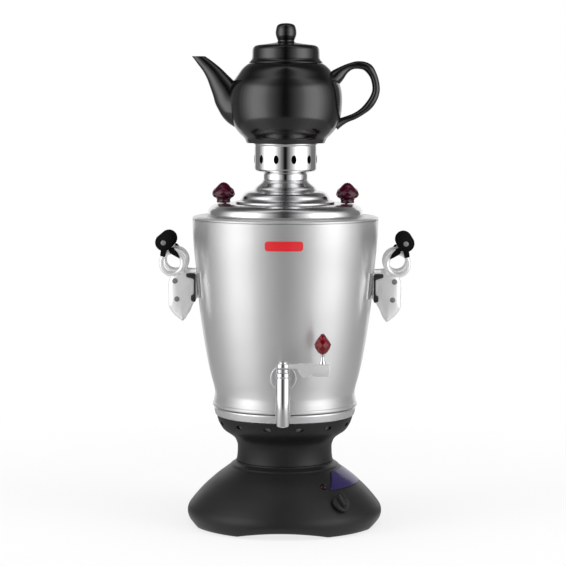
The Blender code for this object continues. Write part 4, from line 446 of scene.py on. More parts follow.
socket = nested(0.0138, 0.0098, 0.0020, [
    (None, 0.0888), (0, 0.0888), (0, 0.1088), (0.0030, 0.1088), (0.0030, 0.1102), (0.0026, 0.1106),
    (-0.0014, 0.1106), (-0.0020, 0.1100), (-0.0020, 0.0951), (None, 0.0951)], (0, inlet_level))
fit(shell("inlet_shell", socket, black), "samovar", "black_plastic", "power_inlet")
nickel = finish("plated blades", (0.66, 0.64, 0.60), 0.25, 1.0, grain, 0.000005, Low=0.2, High=0.32,
                Scale=900)
blade_step, blade_rise = 0.007, 0.00175
blades = [nested(0.0011, 0.0021, 0.0004, [
    (None, 0.0945), (0, 0.0945), (0, 0.1054), (-0.0005, 0.1062), (None, 0.1062)],
    (place * blade_step, inlet_level + lift * blade_rise)) for place, lift in ((-1, -1), (0, 1), (1, -1))]
fit(shell("inlet_blades", blades, nickel), "samovar", "zinc_plate")


# Thermostat, dial panel and pilot lamp
# A round black knob with a grip bar on the slope of the skirt, square to it, a glossy dark
# violet panel above it, left bare, and a small domed ruby lamp.

def on_slope(points, place, outward):
    """Points drawn with +Z outward, stood on the skirt at a place: their +X runs up the slope."""
    out = np.array(outward) / np.linalg.norm(outward)
    aside = np.cross((0, 0, 1), out)
    aside /= np.linalg.norm(aside)
    up = np.cross(out, aside)
    return points @ np.stack([up, aside, out]) + np.array(place)


knob_joint = next(j for j in frame["joints"] if j["name"] == "thermostat_turn")
knob_place = np.array(knob_joint["pos_m"])
knob_out = -np.array(knob_joint["axis"])
rim = np.array([(0, 0.0018), (0.0092, 0.0018), (0.0099, 0.0023), (0.0100, 0.0034), (0.0096, 0.0048),
                (0.0088, 0.0054), (0.0060, 0.0059), (0, 0.0060)])
disc = turned(rim, 144)
angle = np.arctan2(disc[..., 1], disc[..., 0])
flutes, flute_share, flute_top = 24, 0.014, 0.0050
disc[..., :2] *= (1 + flute_share * np.cos(flutes * angle) * (disc[..., 2] < flute_top))[..., None]
bar_levels = np.array([(0.0090, 0.0030, 0.0050), (0.0090, 0.0030, 0.0098), (0.0086, 0.0026, 0.0112),
                       (0.0078, 0.0018, 0.0118), (0, 0, 0.0118)])
bar = np.stack([np.concatenate([rounded_rectangle(x, y, min(y, 0.0029)) if x else np.zeros((48, 2)),
                                np.full((48, 1), z)], 1) for x, y, z in bar_levels])
bar = np.concatenate([bar[:1] * (0, 0, 1), bar])
fit(shell("thermostat_grip", [on_slope(disc, knob_place, knob_out), on_slope(bar, knob_place, knob_out)],
          black), "thermostat_dial", "black_plastic", "thermostat_knob")

violet = finish("violet dial panel", (0.022, 0.014, 0.080), 0.15, 0.0, grain, 0.000004, Low=0.12, High=0.2,
                Scale=400, Specular_IOR_Level=0.35)


def patch(run, start, stop, thickness, corner, lean=0.0):
    """Curved plate on a turned surface: its outline is a rounded rectangle in angle and length
    along the run, leaning by an angle from its middle to its first end, and its rim falls from
    the thickness to the surface."""
    length = np.r_[0, np.cumsum(np.linalg.norm(np.diff(run, axis=0), axis=1))]
    radius = run[:, 0].mean()
    half_x = math.radians(stop - start) / 2 * radius
    half_y = length[-1] / 2
    rims = [(0, 0), (0, thickness * 0.6), (-thickness * 0.35, thickness)]
    edges = [rounded_rectangle(half_x + g, half_y + g, corner, dense=True) for g, lift in rims]
    shrink = (0.97, 0.8, 0.6, 0.4, 0.2, 0.0)
    flat = np.array([edges[0] * share for share in shrink[::-1]] + edges
                    + [edges[-1] * share for share in shrink])
    lifts = [0] * len(shrink) + [lift for g, lift in rims] + [thickness] * len(shrink)
    along = np.clip(flat[..., 1] + half_y, 0, length[-1])
    out = inset(run, -1.0) - run
    lift = np.array(lifts)[:, None]
    r = np.interp(along, length, run[:, 0]) + lift * np.interp(along, length, out[:, 0])
    z = np.interp(along, length, run[:, 1]) + lift * np.interp(along, length, out[:, 1])
    edge = np.clip(-flat[..., 0] / half_x, 0, 1)
    turn = (math.radians((start + stop) / 2) + flat[..., 0] / radius
            + math.radians(lean) * edge * flat[..., 1] / half_y)
    return np.stack([r * np.cos(turn), r * np.sin(turn), z], -1)


near = (skirt_side[:, 1] > 0.0450) & (skirt_side[:, 1] < 0.0605)
panel_gap, panel_thickness, panel_corner, panel_lean = 0.0003, 0.0009, 0.0015, 8.0
panel = patch(inset(skirt_side[near], -panel_gap), -44.5, 1.0, panel_thickness, panel_corner, panel_lean)
fit(shell("panel_plate", panel, violet), "samovar", "dial_panel", "dial_panel")

ruby_lamp = finish("ruby lamp", (0.010, 0.001, 0.002), 0.12, 0.0, grain, 0.000003, Low=0.08, High=0.16,
                   Scale=300, Specular_IOR_Level=0.25)
lamp_turn, lamp_slope = math.radians(-56), math.radians(48.256)
lamp_reach, lamp_level = 0.07682, 0.0487
lamp_side = np.array((math.cos(lamp_turn), math.sin(lamp_turn), 0))
lamp_out = lamp_side * math.cos(lamp_slope) + np.array((0, 0, math.sin(lamp_slope)))
lamp_place = lamp_side * lamp_reach + np.array((0, 0, lamp_level))
dome = turned(flowing([(0, 0.0003), (0.0035, 0.0004), (0.0035, 0.0014), (0.0028, 0.0024), (0.0015, 0.0030),
                       (0, 0.0032)], 5), 64)
fit(shell("lamp_dome", on_slope(dome, lamp_place, lamp_out), ruby_lamp), "samovar", "ruby_acrylic",
    "pilot_lamp")
dress(black, "thermostat_body")

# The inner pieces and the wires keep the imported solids' shape.
brass = finish("machined brass", (0.70, 0.50, 0.20), 0.3, 1.0, spun, 0.000008, Low=0.24, High=0.36,
               Density=1800)
wire_cover = finish("wire cover", (0.30, 0.04, 0.03), 0.5, 0.0, grain, 0.00001, Low=0.45, High=0.6, Scale=500)
dress(brass, "thermostat_spindle", "heater_nut_left", "heater_nut_right", "tap_nut", "tap_plug")
dress(wire_cover, "wire_inlet_to_heater", "wire_thermostat_to_heater", "wire_inlet_to_thermostat")


# Collar
# A waisted black moulding between the skirt and the vessel, with a ring of oval vents under its
# rim and a bright strip inside, which shows in them.

collar_outer = flowing([
    (0.0527, 0.0684), (0.0519, 0.0740), (0.0516, 0.0800), (0.0518, 0.0850), (0.0528, 0.0885),
    (0.0545, 0.0920), (0.0574, 0.0950), (0.0622, 0.0984), (0.0664, 0.1012), (0.0696, 0.1050),
    (0.0726, 0.1106), (0.0743, 0.1160), (0.0744, 0.1172)], 7)
collar = turned(np.vstack([collar_outer, [(0.0715, 0.1172)],
                           inset(collar_outer, moulded_wall)[:-2][::-1]]), 208)
collar_piece = shell("collar_shell", collar, black, loop=True)


def pierced(piece, azimuths, stations, half_width, half_height, level):
    """Cut oval holes: each cutter is one oval of the two half sizes, set at every station's
    distance from the axis and scaled by it, with closed ends."""
    around = np.linspace(0, 2 * np.pi, 32, endpoint=False)
    cutters = []
    for turn in azimuths:
        across = np.array((-np.sin(turn), np.cos(turn), 0))
        out = np.array((np.cos(turn), np.sin(turn), 0))
        oval = (half_width * np.cos(around)[:, None] * across
                + half_height * np.sin(around)[:, None] * np.array((0, 0, 1)))
        reach, size, rise = (np.array(value)[:, None, None] for value in zip(*stations))
        cutters.append(reach * out + size * oval[None] + (rise + level) * np.array((0, 0, 1)))
    holes = shell("holes", cutters, piece.data.materials[0])
    pierce = piece.modifiers.new("holes", "BOOLEAN")
    pierce.operation = "DIFFERENCE"
    pierce.solver = "EXACT"
    pierce.object = holes
    bpy.context.view_layer.update()
    mesh = bpy.data.meshes.new_from_object(piece.evaluated_get(bpy.context.evaluated_depsgraph_get()))
    piece.modifiers.clear()
    piece.data = mesh
    bpy.data.objects.remove(holes)
    smooth(mesh)
    return piece


vents, vent_half_width, vent_half_height, vent_level = 13, 0.0042, 0.0021, 0.1107
vent_turns = np.radians(-90 + (np.arange(vents) + 0.5) * 360 / vents)
vent_stations = [(0.0655, 0, -0.0006), (0.0655, 1, -0.0006), (0.0780, 1, 0), (0.0780, 0, 0)]
pierced(collar_piece, vent_turns, vent_stations, vent_half_width, vent_half_height, vent_level)
fit(collar_piece, "samovar", "black_plastic", "base_collar")
screen = finish("bright strip", (0.30, 0.30, 0.30), 0.5, 1.0, grain, 0.00001, Low=0.45, High=0.55, Scale=900)
strip = turned(np.array([(0.0685, 0.1076), (0.0697, 0.1140), (0.0693, 0.1140), (0.0681, 0.1076)]), 144)
fit(shell("vent_strip", strip, screen, loop=True), "samovar", "zinc_plate")


# Band
# A polished ring that the vessel's foot rests on.

def rounded(corners, steps=5, closed=True):
    """Outline through corners (across, up, reach): each corner is a parabola between the points
    that lie the reach away from it on both sides, at most 0.45 of the side."""
    c = np.array(corners, float)
    p, reach = c[:, :2], c[:, 2:]
    back, ahead = np.roll(p, 1, 0) - p, np.roll(p, -1, 0) - p
    long_back = np.linalg.norm(back, axis=1, keepdims=True)
    long_ahead = np.linalg.norm(ahead, axis=1, keepdims=True)
    first = p + back / long_back * np.minimum(reach, 0.45 * long_back)
    last = p + ahead / long_ahead * np.minimum(reach, 0.45 * long_ahead)
    t = np.linspace(0, 1, steps + 1)[None, :, None]
    curve = (1 - t)**2 * first[:, None] + 2 * t * (1 - t) * p[:, None] + t**2 * last[:, None]
    if not closed:
        curve[0], curve[-1] = p[0], p[-1]
    return curve.reshape(-1, 2)


chrome = finish("polished chrome", (0.80, 0.80, 0.81), 0.06, 1.0, spun, 0.0000015, Low=0.045, High=0.085,
                Density=900)
bright_spun = finish("bright spun steel", (0.74, 0.74, 0.75), 0.24, 0.85, spun, 0.000002, Low=0.21, High=0.27,
                     Density=1200)
band = rounded([
    (0.0750, 0.1176, 0.001), (0.0764, 0.1192, 0.002), (0.0771, 0.1225, 0.003), (0.0775, 0.1262, 0.002),
    (0.0766, 0.1271, 0.0008), (0.0715, 0.1271, 0), (0.0695, 0.1176, 0)])
fit(shell("band_shell", turned(band), bright_spun, loop=True), "samovar", "chrome", "band_ring")


# Vessel
# Spun stainless steel in a satin finish, with a rolled bead at its foot and open at the top, so
# its inside shows when the lid is off.

satin = finish("satin steel", (0.63, 0.63, 0.63), 0.3, 0.72, spun, 0.000003, Low=0.34, High=0.40,
               Density=1500, Anisotropic=0.85, Anisotropic_Rotation=0.25)
vessel_side = flowing([
    (0.0776, 0.1360), (0.0768, 0.1400), (0.0767, 0.1438), (0.0782, 0.1510), (0.0809, 0.1603),
    (0.0847, 0.1768), (0.0878, 0.1933), (0.0906, 0.2098), (0.0929, 0.2263), (0.0949, 0.2428),
    (0.0979, 0.2758), (0.1000, 0.2956), (0.1012, 0.3088), (0.1019, 0.3225), (0.1022, 0.3317)], 6)
foot = rounded([(0.0757, 0.1276, 0.0006), (0.0791, 0.1283, 0.0012), (0.0791, 0.1313, 0.0013),
                (0.0779, 0.1321, 0.0004), (0.0776, 0.1360, 0)], 5, closed=False)
vessel_wall = 0.0012
vessel_inner = np.vstack([inset(vessel_side, vessel_wall)[::-1], [(0.0764, 0.1340), (0.0750, 0.1300)]])
vessel = np.vstack([[(0, 0.1276)], foot[:-1], vessel_side, vessel_inner, [(0.0700, 0.1287), (0, 0.1287)]])
fit(shell("vessel_shell", turned(vessel, 256), satin), "samovar", "satin_steel", "vessel_body")

# A small red enamel plate near the rim, left blank.
enamel = finish("red enamel", (0.62, 0.012, 0.02), 0.25, 0.0, grain, 0.000004, Low=0.2, High=0.3, Scale=300,
                Coat_Weight=0.5)
plate_run = flowing([(0.10074, 0.3036), (0.1012, 0.3088), (0.10156, 0.3140)], 6)
plate_thickness, plate_corner = 0.0007, 0.0030
fit(shell("blank_plate", patch(plate_run, -101.2, -78.2, plate_thickness, plate_corner), enamel), "samovar",
    "satin_steel")
dress(satin, "heating_element")


# Shoulder ring
# A spun ring on the vessel's rim, with a low crown and a sunk seat that the lid stands on.

ring = rounded([
    (0.1022, 0.3322, 0.0004), (0.1022, 0.3340, 0.0012), (0.0998, 0.3351, 0.0010), (0.0872, 0.3351, 0.0012),
    (0.0865, 0.3337, 0.0006), (0.0765, 0.3337, 0.0004), (0.0765, 0.3325, 0.0004), (0.0877, 0.3325, 0.0004),
    (0.0880, 0.3340, 0.0006), (0.0988, 0.3340, 0.0006), (0.0988, 0.3262, 0.0002), (0.1002, 0.3262, 0.0002),
    (0.1002, 0.3322, 0.0002)], 5)
fit(shell("shoulder_shell", turned(ring, 256), satin, loop=True), "samovar", "satin_steel", "shoulder_ring")


# Lid
# Polished spun steel in steps: a brim over the mouth, a raised ring that carries the knobs, and
# two smaller tiers up to the steam neck.

lid_outer = rounded([
    (0.0838, 0.3341, 0.0003), (0.0852, 0.3372, 0.0020), (0.0846, 0.3415, 0.0020), (0.0833, 0.3440, 0.0020),
    (0.0810, 0.3462, 0.0020), (0.0785, 0.3476, 0.0030), (0.0730, 0.3489, 0.0040), (0.0660, 0.3493, 0.0020),
    (0.0590, 0.3487, 0.0020), (0.0556, 0.3490, 0.0006), (0.0550, 0.3512, 0.0006), (0.0505, 0.3524, 0.0008),
    (0.0485, 0.3546, 0.0010),
    (0.0470, 0.3585, 0.0020), (0.0430, 0.3616, 0.0030), (0.0350, 0.3633, 0.0020), (0.0338, 0.3650, 0.0006),
    (0.0328, 0.3672, 0.0020), (0.0300, 0.3692, 0.0030), (0.0262, 0.3722, 0.0030), (0.0249, 0.3749, 0.0006),
    (0.0200, 0.3749, 0.0001)], 5, closed=False)
lid_inner = np.array([
    (0.0200, 0.3737), (0.0236, 0.3737), (0.0250, 0.3712), (0.0290, 0.3681), (0.0315, 0.3662),
    (0.0326, 0.3640), (0.0345, 0.3622), (0.0425, 0.3604), (0.0458, 0.3578), (0.0472, 0.3540),
    (0.0500, 0.3512), (0.0538, 0.3502), (0.0548, 0.3480), (0.0590, 0.3475), (0.0660, 0.3481),
    (0.0730, 0.3477), (0.0747, 0.3474), (0.0747, 0.3275), (0.0759, 0.3275), (0.0759, 0.3462),
    (0.0785, 0.3452), (0.0812, 0.3436), (0.0828, 0.3410), (0.0838, 0.3376)])
lid_steel = finish("polished lid steel", (0.76, 0.76, 0.77), 0.2, 1.0, spun, 0.000002, Low=0.17, High=0.22,
                   Density=1200)
fit(shell("lid_shell", turned(np.vstack([lid_outer, lid_inner]), 256), lid_steel, loop=True),
    "lid_with_crown", "chrome", "lid")


# Lid knobs and the tap's knob
# Cut acrylic, dark ruby on the lid and clearer on the tap: a flared foot, a waist, and a head cut
# in facets that shift by half a side from row to row. A screw from inside holds each on the lid.

def cut_gem(rows, sides, place):
    """Grid of corners: row k has the radius and height of its pair and is turned by k half sides."""
    rows = np.array(rows)
    half = np.pi / sides
    angle = 2 * half * np.arange(sides)[None] + half * np.arange(len(rows))[:, None]
    return np.stack([place[0] + rows[:, :1] * np.cos(angle), place[1] + rows[:, :1] * np.sin(angle),
                     place[2] + rows[:, 1:] + 0 * angle], -1)


def gem_piece(name, points, look, bevel):
    """Closed gem: two triangles between each pair of neighbours in two rows, edges just broken."""
    rows, sides = points.shape[:2]
    index = np.arange(rows * sides).reshape(rows, sides)
    low, high = index[:-1], index[1:]
    beside, over = np.roll(low, -1, 1), np.roll(high, -1, 1)
    faces = np.concatenate([np.stack([low, beside, high], -1).reshape(-1, 3),
                            np.stack([beside, over, high], -1).reshape(-1, 3)])
    piece = linked(name, outward(name, points, faces.tolist(), same_point), look)
    edge = piece.modifiers.new("broken edges", "BEVEL")
    edge.width = bevel
    edge.segments = 2
    edge.limit_method = "ANGLE"
    edge.angle_limit = math.radians(12)
    return piece


dark_ruby, ruby = (
    finish(name, colour, 0.06, 0.0, grain, 0.000003, Low=0.04, High=0.09, Scale=300, Specular_IOR_Level=0.5)
    for name, colour in (("dark ruby acrylic", (0.045, 0.0006, 0.010)),
                         ("ruby acrylic", (0.13, 0.0012, 0.006))))
lid_gem = [(0, 0), (0.0074, 0), (0.0077, 0.0010), (0.0075, 0.0030), (0.0084, 0.0048), (0.0116, 0.0066),
           (0.0127, 0.0092), (0.0125, 0.0122), (0.0108, 0.0148), (0.0082, 0.0170), (0.0057, 0.0197),
           (0.0030, 0.0218), (0, 0.0225)]
knob_reach = 0.0681
for word, side in (("left", -1), ("right", 1)):
    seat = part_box(f"lid_knob_{word}")[0].z
    fit(gem_piece(f"lid_gem_{word}", cut_gem(lid_gem, 10, (side * knob_reach, 0, seat)), dark_ruby, 0.0003),
        "lid_with_crown", "ruby_acrylic", f"lid_knob_{word}")


# Steam neck and crown
# A short polished tube, and a polished cup on it with a ring of oval holes that let the steam
# out under the teapot. A dark lining inside the cup is painted shade, as dark as the covered cup's inside.

neck = rounded([
    (0.0245, 0.3753, 0.0004), (0.0245, 0.3816, 0.0004), (0.0230, 0.3816, 0.0002), (0.0230, 0.3768, 0.0002),
    (0.0182, 0.3768, 0.0002), (0.0182, 0.3693, 0.0002), (0.0197, 0.3693, 0.0002), (0.0197, 0.3753, 0.0001)])
fit(shell("neck_shell", turned(neck), chrome, loop=True), "lid_with_crown", "chrome", "neck_tube")

crown = rounded([
    (0.0245, 0.3820, 0.0006), (0.0262, 0.3826, 0.0010), (0.0338, 0.3852, 0.0014), (0.0345, 0.3872, 0.0010),
    (0.0345, 0.4122, 0.0010), (0.0353, 0.4140, 0.0008), (0.0355, 0.4151, 0.0004), (0.0342, 0.4151, 0.0003),
    (0.0332, 0.4125, 0.0006), (0.0332, 0.3880, 0.0010), (0.0214, 0.3833, 0.0004), (0.0214, 0.3781, 0.0002),
    (0.0227, 0.3781, 0.0002), (0.0227, 0.3820, 0.0001)], 5)
holes, hole_half_width, hole_half_height, hole_level = 11, 0.0029, 0.0047, 0.3979
hole_turns = np.radians(-90 + (np.arange(holes) + 0.5) * 360 / holes)
# A dark shell inside the cup, pierced like it: painted shade where the covered cup's inside lies in shadow.
cup_shade = turned(np.array([(0.0321, 0.3884), (0.0330, 0.3884), (0.0330, 0.4115), (0.0321, 0.4115)]), 264)
painted_cup_shade = finish("dull inside of the cup", (0.03, 0.03, 0.03), 0.6, 0.5, grain, 0.00001, Low=0.55, High=0.65,
              Scale=700)
for name, points, look, nodes in (("crown_shell", turned(crown, 264), chrome, ["crown_cup"]),
                                  ("crown_lining", cup_shade, painted_cup_shade, [])):
    fit(pierced(shell(name, points, look, loop=True), hole_turns,
                [(0.028, 0, 0), (0.028, 1, 0), (0.040, 1, 0), (0.040, 0, 0)],
                hole_half_width, hole_half_height, hole_level), "lid_with_crown", "chrome", *nodes)


# Teapot
# Slip-cast ceramic in a black glaze: a round body on a stepped foot, a tapering spout on the
# left and an ear-shaped handle on the right.

glaze = finish("black glaze", (0.002, 0.002, 0.0022), 0.12, 0.0, grain, 0.00002, Low=0.13, High=0.2, Scale=60,
               Specular_IOR_Level=0.8)
pot_side = flowing([
    (0.0430, 0.4155), (0.0440, 0.4180), (0.0458, 0.4212), (0.0516, 0.4270), (0.0566, 0.4340),
    (0.0603, 0.4440), (0.0618, 0.4565), (0.0618, 0.4680), (0.0603, 0.4770), (0.0574, 0.4838),
    (0.0536, 0.4893), (0.0497, 0.4950), (0.0466, 0.4985), (0.0436, 0.5010), (0.0416, 0.5024)], 6)
pot_wall, spout_wall = 0.0042, 0.0013
pot = np.vstack([[(0, 0.4156), (0.0275, 0.4156), (0.0275, 0.4100), (0.0283, 0.4092), (0.0308, 0.4092),
                  (0.0316, 0.4100), (0.0316, 0.4156)], pot_side, [(0.0410, 0.5026), (0.0355, 0.5026),
                 (0.0350, 0.5020), (0.0350, 0.4985)], inset(pot_side, pot_wall)[6:-12][::-1],
                 [(0.0360, 0.4197), (0, 0.4197)]])


def carried(path, section, across, size=1.0):
    """Section carried along a path: its first coordinate runs square to the path and to across,
    its second along across, and both are scaled by the size at each point."""
    run = np.gradient(path, axis=0)
    run /= np.linalg.norm(run, axis=1, keepdims=True)
    across = np.array(across, float)
    side = np.cross(across, run)
    side /= np.linalg.norm(side, axis=1, keepdims=True)
    size = np.broadcast_to(size, len(path))[:, None, None]
    return path[:, None] + size * (section[None, :, :1] * side[:, None] + section[None, :, 1:] * across)


def capped(points):
    """The same grid with its first and last row drawn together to their middles."""
    first = points[:1].mean(1, keepdims=True) + 0 * points[:1]
    last = points[-1:].mean(1, keepdims=True) + 0 * points[-1:]
    return np.concatenate([first, points, last])


around = np.linspace(0, 2 * np.pi, 40, endpoint=False)
round_section = np.stack([np.cos(around), np.sin(around)], -1)
spout_keys = flowing([
    (-0.0380, 0.4480, 0.0220), (-0.0520, 0.4555, 0.0215), (-0.0612, 0.4640, 0.0178),
    (-0.0668, 0.4728, 0.0150), (-0.0724, 0.4815, 0.0124), (-0.0782, 0.4903, 0.0100),
    (-0.0850, 0.4985, 0.0078), (-0.0920, 0.5053, 0.0062), (-0.0975, 0.5107, 0.0049),
    (-0.1010, 0.5142, 0.0044)], 6)
spout_path = np.stack([spout_keys[:, 0], 0 * spout_keys[:, 0], spout_keys[:, 1]], 1)
oval_section = round_section * (1.0, 0.86)
spout_skin = carried(spout_path, oval_section, (0, 1, 0), spout_keys[:, 2])
spout_bore = carried(spout_path[-14:], oval_section, (0, 1, 0), spout_keys[-14:, 2] - spout_wall)

# The spout's mouth is cut level: points above it slide back along the spout's last stretch.
mouth = 0.5106
along = spout_path[-1] - spout_path[-2]
spout_skin += along / along[2] * np.minimum(mouth - spout_skin[..., 2:], 0)
spout_bore += along / along[2] * np.minimum(mouth - spout_bore[..., 2:], 0)
spout = capped(np.concatenate([spout_skin, spout_bore[::-1]]))
ear = flowing([
    (0.0500, 0.4835, 0.0092), (0.0575, 0.4903, 0.0077), (0.0645, 0.4962, 0.0052), (0.0715, 0.5000, 0.0040),
    (0.0785, 0.5014, 0.0043), (0.0861, 0.5005, 0.0046), (0.0917, 0.4970, 0.0050), (0.0963, 0.4894, 0.0043),
    (0.0987, 0.4809, 0.0042), (0.0990, 0.4727, 0.0043), (0.0963, 0.4646, 0.0045), (0.0909, 0.4566, 0.0045),
    (0.0836, 0.4501, 0.0037), (0.0754, 0.4451, 0.0035), (0.0671, 0.4418, 0.0036), (0.0600, 0.4385, 0.0046),
    (0.0540, 0.4350, 0.0060)], 5)
ear_path = np.stack([ear[:, 0], 0 * ear[:, 0], ear[:, 1]], 1)
handle = capped(carried(ear_path, round_section * (1.0, 1.2), (0, 1, 0), ear[:, 2]))
fit(shell("pot_shell", [turned(pot), spout, handle], glaze), "teapot", "black_glaze", "teapot_body")


# Teapot lid
# The same black glaze: a flange in the mouth, an upright drum, a shallow cone and a round finial.

cover = rounded([
    (0, 0.5190, 0), (0.0300, 0.5190, 0.002), (0.0309, 0.4962, 0.0006), (0.0344, 0.4962, 0.0006),
    (0.0344, 0.5031, 0.0003), (0.0408, 0.5031, 0.0010), (0.0403, 0.5046, 0.0010), (0.0384, 0.5062, 0.0012),
    (0.0371, 0.5090, 0.0020), (0.0368, 0.5196, 0.0030), (0.0332, 0.5228, 0.0025), (0.0200, 0.5246, 0.0040),
    (0.0100, 0.5260, 0.0020), (0.0089, 0.5278, 0.0012), (0.0103, 0.5308, 0.0030), (0.0117, 0.5355, 0.0045),
    (0.0112, 0.5405, 0.0030), (0.0098, 0.5450, 0.0030), (0.0060, 0.5469, 0.0030), (0, 0.5474, 0)], 6,
    closed=False)
fit(shell("cover_shell", turned(cover), glaze), "teapot_cover", "black_glaze", "teapot_lid")


# Tap
# A chrome plug tap: a rosette against the wall, a shank, an upright spout with ridges at its
# head, a gland, a cast lever to the right and a ruby knob on a stem.

def upright(outline, place, steps=96):
    """Surface of revolution about an upright axis at a place."""
    return turned(np.array(outline), steps) + np.array(place)


def forward(outline, level, steps=96):
    """Surface of revolution about the tap's shank: the outline's height runs towards -Y."""
    points = turned(np.array(outline), steps)
    return np.stack([points[..., 0], -points[..., 2], level + points[..., 1]], -1)


tap_joint = next(j for j in frame["joints"] if j["name"] == "tap_turn")
tap_place = np.array(tap_joint["pos_m"])
tap_y, tap_level = tap_place[1:]
spout_tube = upright(rounded([
    (0.0042, -0.0130, 0.0001), (0.0042, -0.0486, 0.0003), (0.0052, -0.0490, 0.0006),
    (0.0068, -0.0472, 0.0022), (0.0075, -0.0410, 0.0040), (0.0075, 0.0020, 0.0010), (0.0071, 0.0030, 0.0006),
    (0.0075, 0.0040, 0.0006), (0.0075, 0.0080, 0.0006), (0.0070, 0.0085, 0.0003), (0.0053, 0.0085, 0.0001),
    (0.0053, -0.0130, 0.0001)], 5), tap_place)
shank = forward(rounded([(0.0028, 0.0700, 0.0001), (0.0064, 0.0700, 0.0004), (0.0064, 0.1035, 0.0001),
                         (0.0028, 0.1035, 0.0001)], 4), tap_level)

# The shank ends in a saddle on the spout's tube, just inside the tube's skin.
saddle = 0.0065
shank[..., 1] = np.maximum(shank[..., 1], tap_y + np.sqrt(np.clip(saddle**2 - shank[..., 0]**2, 0, None)))
fit(shell("tap_shell", [spout_tube, shank], chrome, loop=True), "samovar", "chrome", "tap_body")
rosette = forward(rounded([
    (0, 0.0800, 0), (0.0140, 0.0800, 0.0003), (0.0140, 0.0846, 0.0006), (0.0132, 0.0853, 0.0010),
    (0.0080, 0.0857, 0.0010), (0, 0.0858, 0)], 5, closed=False), tap_level)
fit(shell("rosette_shell", rosette, satin), "samovar", "chrome", "tap_rosette")
gland = upright(rounded([
    (0.0033, 0.0088, 0), (0.0071, 0.0088, 0.0005), (0.0072, 0.0100, 0.0005), (0.0065, 0.0105, 0.0004),
    (0.0072, 0.0110, 0.0005), (0.0071, 0.0122, 0.0005), (0.0033, 0.0122, 0)], 5), tap_place)
fit(shell("gland_shell", gland, chrome, loop=True), "samovar", "chrome", "tap_gland")


def plate(name, outline, low, high, edge, look):
    """Flat plate across Y: its outline drawn in by the edge at both faces, with a step of the
    same size between, and a face with many corners on each side."""
    outline = np.array(outline, float)
    run = np.roll(outline, -1, 0) - np.roll(outline, 1, 0)
    run /= np.linalg.norm(run, axis=1, keepdims=True)
    area = np.sum(outline[:, 0] * np.roll(outline[:, 1], -1) - outline[:, 1] * np.roll(outline[:, 0], -1))
    inward = np.stack([-run[:, 1], run[:, 0]], 1) * np.sign(area)
    rows = [(edge, low), (0.3 * edge, low + 0.3 * edge), (0, low + edge),
            (0, high - edge), (0.3 * edge, high - 0.3 * edge), (edge, high)]
    points = np.array([np.insert(outline + inward * draw, 1, y, axis=1) for draw, y in rows])
    faces = quads(points, False).tolist()
    count = len(outline)
    faces += [list(range(count)), list(range(points.shape[0] * count - count, points.shape[0] * count))]
    mesh = outward(name, points, faces, 0)
    smooth(mesh)
    return linked(name, mesh, look)


hub = upright(rounded([
    (0, 0.0125, 0), (0.0068, 0.0125, 0.0005), (0.0070, 0.0150, 0.002), (0.0068, 0.0178, 0.0006),
    (0.0048, 0.0182, 0.0004), (0.0048, 0.0192, 0.0004), (0.0026, 0.0208, 0.0010), (0, 0.0210, 0)],
    5, closed=False), tap_place)
fit(shell("lever_hub", hub, chrome), "tap_key", "chrome", "tap_cap")
lever_place = np.array((0, tap_level + 0.0179, 0))
lever_outline = rounded(lever_place + [
    (0.0035, -0.0002, 0.0003), (0.0150, -0.0002, 0.0006), (0.0165, 0.0004, 0.0006), (0.0275, 0.0004, 0.0006),
    (0.0300, 0, 0.0006), (0.0490, 0, 0.0012), (0.0500, -0.0060, 0.0012), (0.0488, -0.0128, 0.0012),
    (0.0330, -0.0128, 0.0012), (0.0305, -0.0105, 0.0012), (0.0268, -0.0146, 0.0016),
    (0.0205, -0.0146, 0.0016), (0.0166, -0.0090, 0.0016), (0.0148, -0.0050, 0.0010),
    (0.0035, -0.0050, 0.0003)], 4)
lever_steel = finish("satin cast lever", (0.78, 0.78, 0.78), 0.38, 0.7, grain, 0.00001, Low=0.34, High=0.42,
                     Scale=700)
lever_half, lever_edge = 0.0045, 0.0011
lever = plate("lever_arm", lever_outline, tap_y - lever_half, tap_y + lever_half, lever_edge, lever_steel)
fit(lever, "tap_key", "chrome", "tap_lever")
knob_foot = tap_place + (0.0416, 0, 0)
stem = upright(rounded([
    (0, 0.0176, 0), (0.0034, 0.0177, 0.0003), (0.0030, 0.0200, 0.001), (0.0019, 0.0225, 0.001),
    (0.0019, 0.0262, 0.001), (0.0030, 0.0278, 0.0004), (0, 0.0282, 0)], 5, closed=False), knob_foot)
fit(shell("knob_stem", stem, chrome), "tap_key", "chrome")
tap_gem = [(0, 0.0285), (0.0030, 0.0285), (0.0052, 0.0303), (0.0082, 0.0347), (0.0089, 0.0383),
           (0.0076, 0.0417), (0.0050, 0.0447), (0.0034, 0.0471), (0.0018, 0.0493), (0, 0.0498)]
fit(gem_piece("tap_gem", cut_gem(tap_gem, 8, knob_foot), ruby, 0.00025), "tap_key", "ruby_acrylic",
    "tap_knob")


# Side handles
# Two cast and chromed brackets, each with two arms: a leaf against the vessel, a ring and a
# scroll above it. A black grip bar runs through the eyes at the top, between two domed caps.
# Thin dark plates and grey domes are painted shade in the hollows of the casting, and a grey disc on each
# front cap is a painted highlight.

cast = finish("bright cast metal", (0.90, 0.90, 0.90), 0.34, 0.6, grain, 0.00001, Low=0.3, High=0.38,
              Scale=700)
# The grip's black also serves as painted shade on the plates at the scroll roots.
black_grip_and_shade = finish("black grip", (0.008, 0.008, 0.0085), 0.4, 0.0, grain, 0.00001, Low=0.35, High=0.45,
                    Scale=900, Specular_IOR_Level=0.0)
dark_spot = finish("shaded recess", (0.03, 0.03, 0.032), 0.4, 0.6, grain, 0.00001, Low=0.35, High=0.5,
                   Scale=900)
# Grey that is painted shade on the leaf's domes and a painted highlight on the grip's front caps.
grey_shade_and_highlight = finish("soft grey dimple", (0.20, 0.20, 0.20), 0.4, 0.4, grain, 0.00001, Low=0.35, High=0.5,
                   Scale=900)


